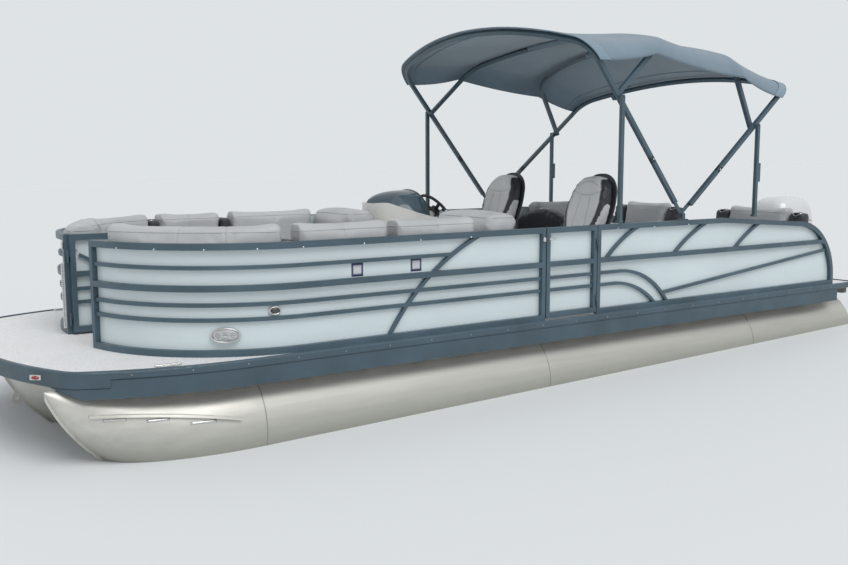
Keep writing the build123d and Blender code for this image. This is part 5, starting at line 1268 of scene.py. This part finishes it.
def bow_post_details():
    """The perforated light strip on the starboard gate post, with black discs of painted shade for its holes, and
    the latches of the gates.
    """
    post = Vector((*BOW_POST, 0))
    block_piece("bow_light_strip", [(post + Vector(STRIP_AT), STRIP_SIZE, None)], lamp_glow, 0.0008)
    # Painted shade: black discs stand where the holes would show the dark inside of the post
    holes = [(post + Vector(HOLE_AT) + UP * HOLE_PITCH * k, PORT) for k in range(HOLES)]
    headed("bow_light_holes", holes, (0.007, 0.007, 0.0016), black_trim, "lamp")
    for name, body, centre, size in LATCHES:
        block_piece(name, [(centre, size, None)], steel, 0.0035, body)


def blank_stickers():
    """Bare registration squares on the port fence skin."""
    skin = skin_of(NODES["fence_skin_port"])
    for k, (s, z) in enumerate(STICKERS):
        way = facing(s)
        at = (*along(s, 0.3), z)
        for name, wide, finish, lift in (("sticker_border", STICKER_WIDE, film_border, 0.0),
                                         ("sticker", STICKER_INNER, blank_film, 0.0005)):
            rows = patch_rows(at, UP.cross(way), UP, wide, wide)
            decal(f"{name}_{k + 1}", skin, rows, -way, 0.0004, finish, lifts=[lift] * len(rows))


# The dash: X and Z of its foot and head, its slope, and what sits on it at a Y and a share of the slope
DASH_FOOT = (2.950, 0.880)
DASH_HEAD = (3.095, 1.055)
DASH_SLOPE = Vector((0.638, 0, 0.770)).normalized()
DASH_OUT = Vector((-0.770, 0, 0.638)).normalized()
DASH_TURN = Matrix((DASH_OUT, PORT, DASH_SLOPE)).transposed()
GAUGES = ((-0.560, 0.72, 0.037), (-0.655, 0.80, 0.037), (-0.845, 0.80, 0.037))
NEEDLE = DASH_SLOPE * 0.8 + PORT * 0.6
DISPLAY_AT = (0.60, -0.985)
DISPLAY_FRAME = (0.014, 0.230, 0.130)
DISPLAY_GLASS = (0.002, 0.204, 0.104)
SWITCH_AT = (0.17, -1.060)
SWITCH_PITCH = 0.034
SWITCH_SIZE = (0.010, 0.020, 0.030)
THROTTLE_Y = -0.535
THROTTLE_SIZE = (0.046, 0.056, 0.105)
LEVER = ((0, 0.034, 0), (-0.010, 0.036, 0.06), (-0.004, 0.034, 0.115), (-0.004, 0.006, 0.128))
GRIP_AT = (-0.004, -0.002, 0.128)

# Windscreen, wheel, locker doors as ranges of X or Y, and the outboard's cowl
SCREEN_AT = 3.200
SCREEN_Y = -0.780
SCREEN_HALF = 0.344
SCREEN_LOW = 1.030
SCREEN_TOP = 1.289
WHEEL_AT = (2.935, -0.750, 1.105)
LOUNGE_DOORS = ((3.720, 4.360), (4.420, 5.060), (5.120, 5.560))
AFT_DOORS = ((0.260, 0.960), (-1.000, -0.420))
DOOR_Z = (0.500, 0.700)
DOOR_ROUND = 0.022
DOOR_FLAT = 0.01
LATCH_Z = 0.672
AFT_CAST_X = 2.2
CUP_R = 0.042
ARM_WIDE_ENOUGH = 0.11
COWL_SEAM_Z = 0.742
STRIPE_X = (-1.215, -0.760)
STRIPES = ((0.905, 0.985), (0.870, 0.950))
STRIPE_HALF = 0.006
VENT_FROM = (-1.8, 0, 0.95)
VENT_PITCH = 0.026
VENT_SIZE = (0.008, 0.110, 0.010)


def dash_point(share, y, out=0.0):
    """A point on the dash, at a share of its slope up and at y, lifted out of it."""
    x = DASH_FOOT[0] + (DASH_HEAD[0] - DASH_FOOT[0]) * share
    z = DASH_FOOT[1] + (DASH_HEAD[1] - DASH_FOOT[1]) * share
    return Vector((x, y, z)) + DASH_OUT * out


def dash_block(name, spots, size, finish, bevel):
    """Blocks of one size, turned with the dash."""
    return block_piece(name, [(spot, size, DASH_TURN) for spot in spots], finish, bevel)


def helm_details():
    """Gauges, a blank display, switches, the throttle and the windscreen's rim."""
    rings, faces, needles = [], [], []
    for y, share, size in GAUGES:
        middle = dash_point(share, y, 0.002)
        rings.append(oval(middle, PORT, DASH_SLOPE, size, size, 32))
        faces.append((middle, DASH_OUT))
        foot = middle + DASH_OUT * 0.003
        needles.append([foot, foot + NEEDLE * size * 0.7])
    piped("gauge_bezels", rings, 0.0035, steel, "cleat_metal", spacing=0.006)
    headed("gauge_faces", faces, (0.074, 0.074, 0.004), gauge_face, "cleat_metal")
    piped("gauge_needles", needles, 0.0011, lamp_glow, "cleat_metal", spacing=0.01)
    dash_block("display_frame", [dash_point(*DISPLAY_AT, 0.005)], DISPLAY_FRAME, black_trim, 0.004)
    dash_block("display_glass", [dash_point(*DISPLAY_AT, 0.0125)], DISPLAY_GLASS, display, 0.0008)
    switches = [dash_point(SWITCH_AT[0], SWITCH_AT[1] + SWITCH_PITCH * k, 0.004) for k in range(7)]
    dash_block("dash_switches", switches, SWITCH_SIZE, black_trim, 0.002)
    dash_block("throttle_box", [dash_point(0.42, THROTTLE_Y, 0.022)], THROTTLE_SIZE, black_trim, 0.008)
    base = dash_point(0.50, THROTTLE_Y, 0.040)
    lever = [base + Vector(bend) for bend in LEVER]
    piped("throttle_lever", [lever], 0.0085, steel, "cleat_metal", spacing=0.01)
    grip = (base + Vector(GRIP_AT), PORT)
    headed("throttle_grip", [grip], (0.032, 0.032, 0.062), grip_rubber, "cleat_metal")
    high = SCREEN_TOP - SCREEN_LOW
    rim = [(SCREEN_AT, SCREEN_Y + SCREEN_HALF * math.cos(t), SCREEN_LOW + high * math.sin(t))
           for t in turns(48, math.pi)]
    piped("screen_rim", [rim], 0.0058, black_trim, "smoked_screen")
    cap = (Vector(WHEEL_AT) + DASH_OUT * 0.022, DASH_OUT)
    headed("wheel_cap", [cap], (0.058, 0.058, 0.016), black_trim, "wheel_grip", "helm_wheel")


def door_outline(skin, ends, fixed, axis, way):
    """A door's closed outline laid on a flat face, or nothing; axis is the one that stays fixed."""
    (a0, a1), (b0, b1) = [(low + DOOR_ROUND, high - DOOR_ROUND) for low, high in (ends, DOOR_Z)]
    outline = []
    for k, (a, b) in enumerate(((a1, b1), (a0, b1), (a0, b0), (a1, b0))):
        for step in range(7):
            t = math.radians(90 * k + 15 * step)
            p, z = a + DOOR_ROUND * math.cos(t), b + DOOR_ROUND * math.sin(t)
            outline.append((p, fixed, z) if axis == 1 else (fixed, p, z))
    outline.append(outline[0])
    path = laid(skin, outline, way, 0.0004)
    depths = [p[axis] for p in path]
    if len(path) < len(outline) or max(depths) - min(depths) >= DOOR_FLAT:
        return None
    return path[:-1] + path[:1]


def locker_doors():
    """Outlines and latches of the lockers in the seat bases."""
    paths, latches = [], []
    for side, label in SIDES:
        skin = skin_of(NODES[f"bow_seat_base_{label}"])
        for ends in LOUNGE_DOORS:
            path = door_outline(skin, ends, 0, 1, PORT * side)
            if path:
                paths.append(path)
                spot, normal = touch(skin, (sum(ends) / 2, 0, LATCH_Z), PORT * side)
                if spot is not None:
                    latches.append((spot, normal))
    skin = skin_of(NODES["aft_seat_bases"])
    for ends in AFT_DOORS:
        path = door_outline(skin, ends, AFT_CAST_X, 0, -AHEAD)
        if path:
            paths.append(path)
    piped("locker_lines", paths, 0.0022, seam_shadow, "seat_shell", spacing=0.015)
    headed("locker_latches", latches, (0.030, 0.030, 0.010), steel, "seat_shell")


def cup_holders(pads):
    """Steel-rimmed cup holders sunk in the aft arm rests."""
    rims, wells = [], []
    for pad in pads:
        if not pad.name.startswith("seat_arms"):
            continue
        xs = [v.co.x for v in pad.data.vertices]
        ys = [v.co.y for v in pad.data.vertices]
        if min(max(xs) - min(xs), max(ys) - min(ys)) < ARM_WIDE_ENOUGH:
            continue
        skin = skin_of(pad)
        above = Vector(((max(xs) + min(xs)) / 2, (max(ys) + min(ys)) / 2, 2))
        ring = laid(skin, oval(above, AHEAD, PORT, CUP_R, CUP_R, 36), -UP, 0.0015)
        spot, normal = touch(skin, above, -UP)
        if spot is not None and len(ring) == 37:
            rims.append(ring[:-1] + ring[:1])
            wells.append((spot, normal))
    if rims:
        piped("cup_rims", rims, 0.0035, steel, "cleat_metal", spacing=0.008)
        headed("cup_wells", wells, (0.080, 0.080, 0.008), black_trim, "cleat_metal")


def motor_details():
    """The cowl's parting seam, its side stripes and its air vents."""
    cowl = NODES["outboard_cowl"]
    seam = sliced([(cowl, ((0, 0, COWL_SEAM_Z), (0.05, 0, 1)))])
    grown("cowl_seam", PIPING, seam, "motor", "motor_cowl", Spacing=0.015, Radius=0.0022, Finish=black_trim)
    skin = skin_of(cowl)
    x0, x1 = STRIPE_X
    for side, label in SIDES:
        for k, (z0, z1) in enumerate(STRIPES):
            rows = [[(x0 + (x1 - x0) * t, side * 0.5, z0 + (z1 - z0) * t + w) for t in shares(16)]
                    for w in (-STRIPE_HALF, 0.0, STRIPE_HALF)]
            name = f"cowl_stripe_{label}_{k + 1}"
            decal(name, skin, rows, -PORT * side, 0.0004, stripe_film, "motor")
    vents = [touch(skin, Vector(VENT_FROM) + UP * VENT_PITCH * k, AHEAD)[0] for k in range(4)]
    blocks = [(spot, VENT_SIZE, None) for spot in vents if spot is not None]
    if blocks:
        block_piece("cowl_vents", blocks, black_trim, 0.002, "motor")


def water_plane():
    """The pale stage at the waterline."""
    reach = 60
    corners = ((-reach, -reach), (reach, -reach), (reach, reach), (-reach, reach))
    look = Look("water")
    look.set("Base Color", WATER_PALE)
    look.set("Roughness", 0.7)
    look.set("Specular IOR Level", 0.2)
    points = [(x, y, (x - WATER_AT_X) * WATER_SLOPE) for x, y in corners]
    link("water", plain_mesh("water", points, faces=[(0, 1, 2, 3)], finish=look.material))


def light_sky():
    """A soft white dome, a plain backdrop of its own shade, and one broad overcast sun."""
    world = bpy.data.worlds.new("sky")
    bpy.context.scene.world = world
    world.use_nodes = True
    tree = world.node_tree
    sky = tree.nodes["Background"]
    sky.inputs["Color"].default_value = SKY_LIGHT
    sky.inputs["Strength"].default_value = 0.72
    seen = put(tree, "ShaderNodeBackground", {"Color": SKY_SEEN, "Strength": 1.0})
    straight = put(tree, "ShaderNodeLightPath").outputs["Is Camera Ray"]
    values = {"Fac": straight, 1: sky.outputs["Background"], 2: seen.outputs["Background"]}
    mix = put(tree, "ShaderNodeMixShader", values)
    tree.links.new(mix.outputs["Shader"], tree.nodes["World Output"].inputs["Surface"])
    sun = bpy.data.lights.new("sun", "SUN")
    sun.energy = 1.5
    sun.angle = math.radians(40)
    lamp = link("sun", sun)
    lamp.rotation_euler = (math.radians(32), math.radians(12), math.radians(160))


aim_camera()
finish_nodes()
seats = upholster()
canopy_cloth()
bow_collars()
tube_details()
fence_heads()
lamp_details()
bow_post_details()
blank_stickers()
helm_details()
locker_doors()
cup_holders(seats)
motor_details()
water_plane()
light_sky()
bpy.context.scene.view_settings.view_transform = "Standard"
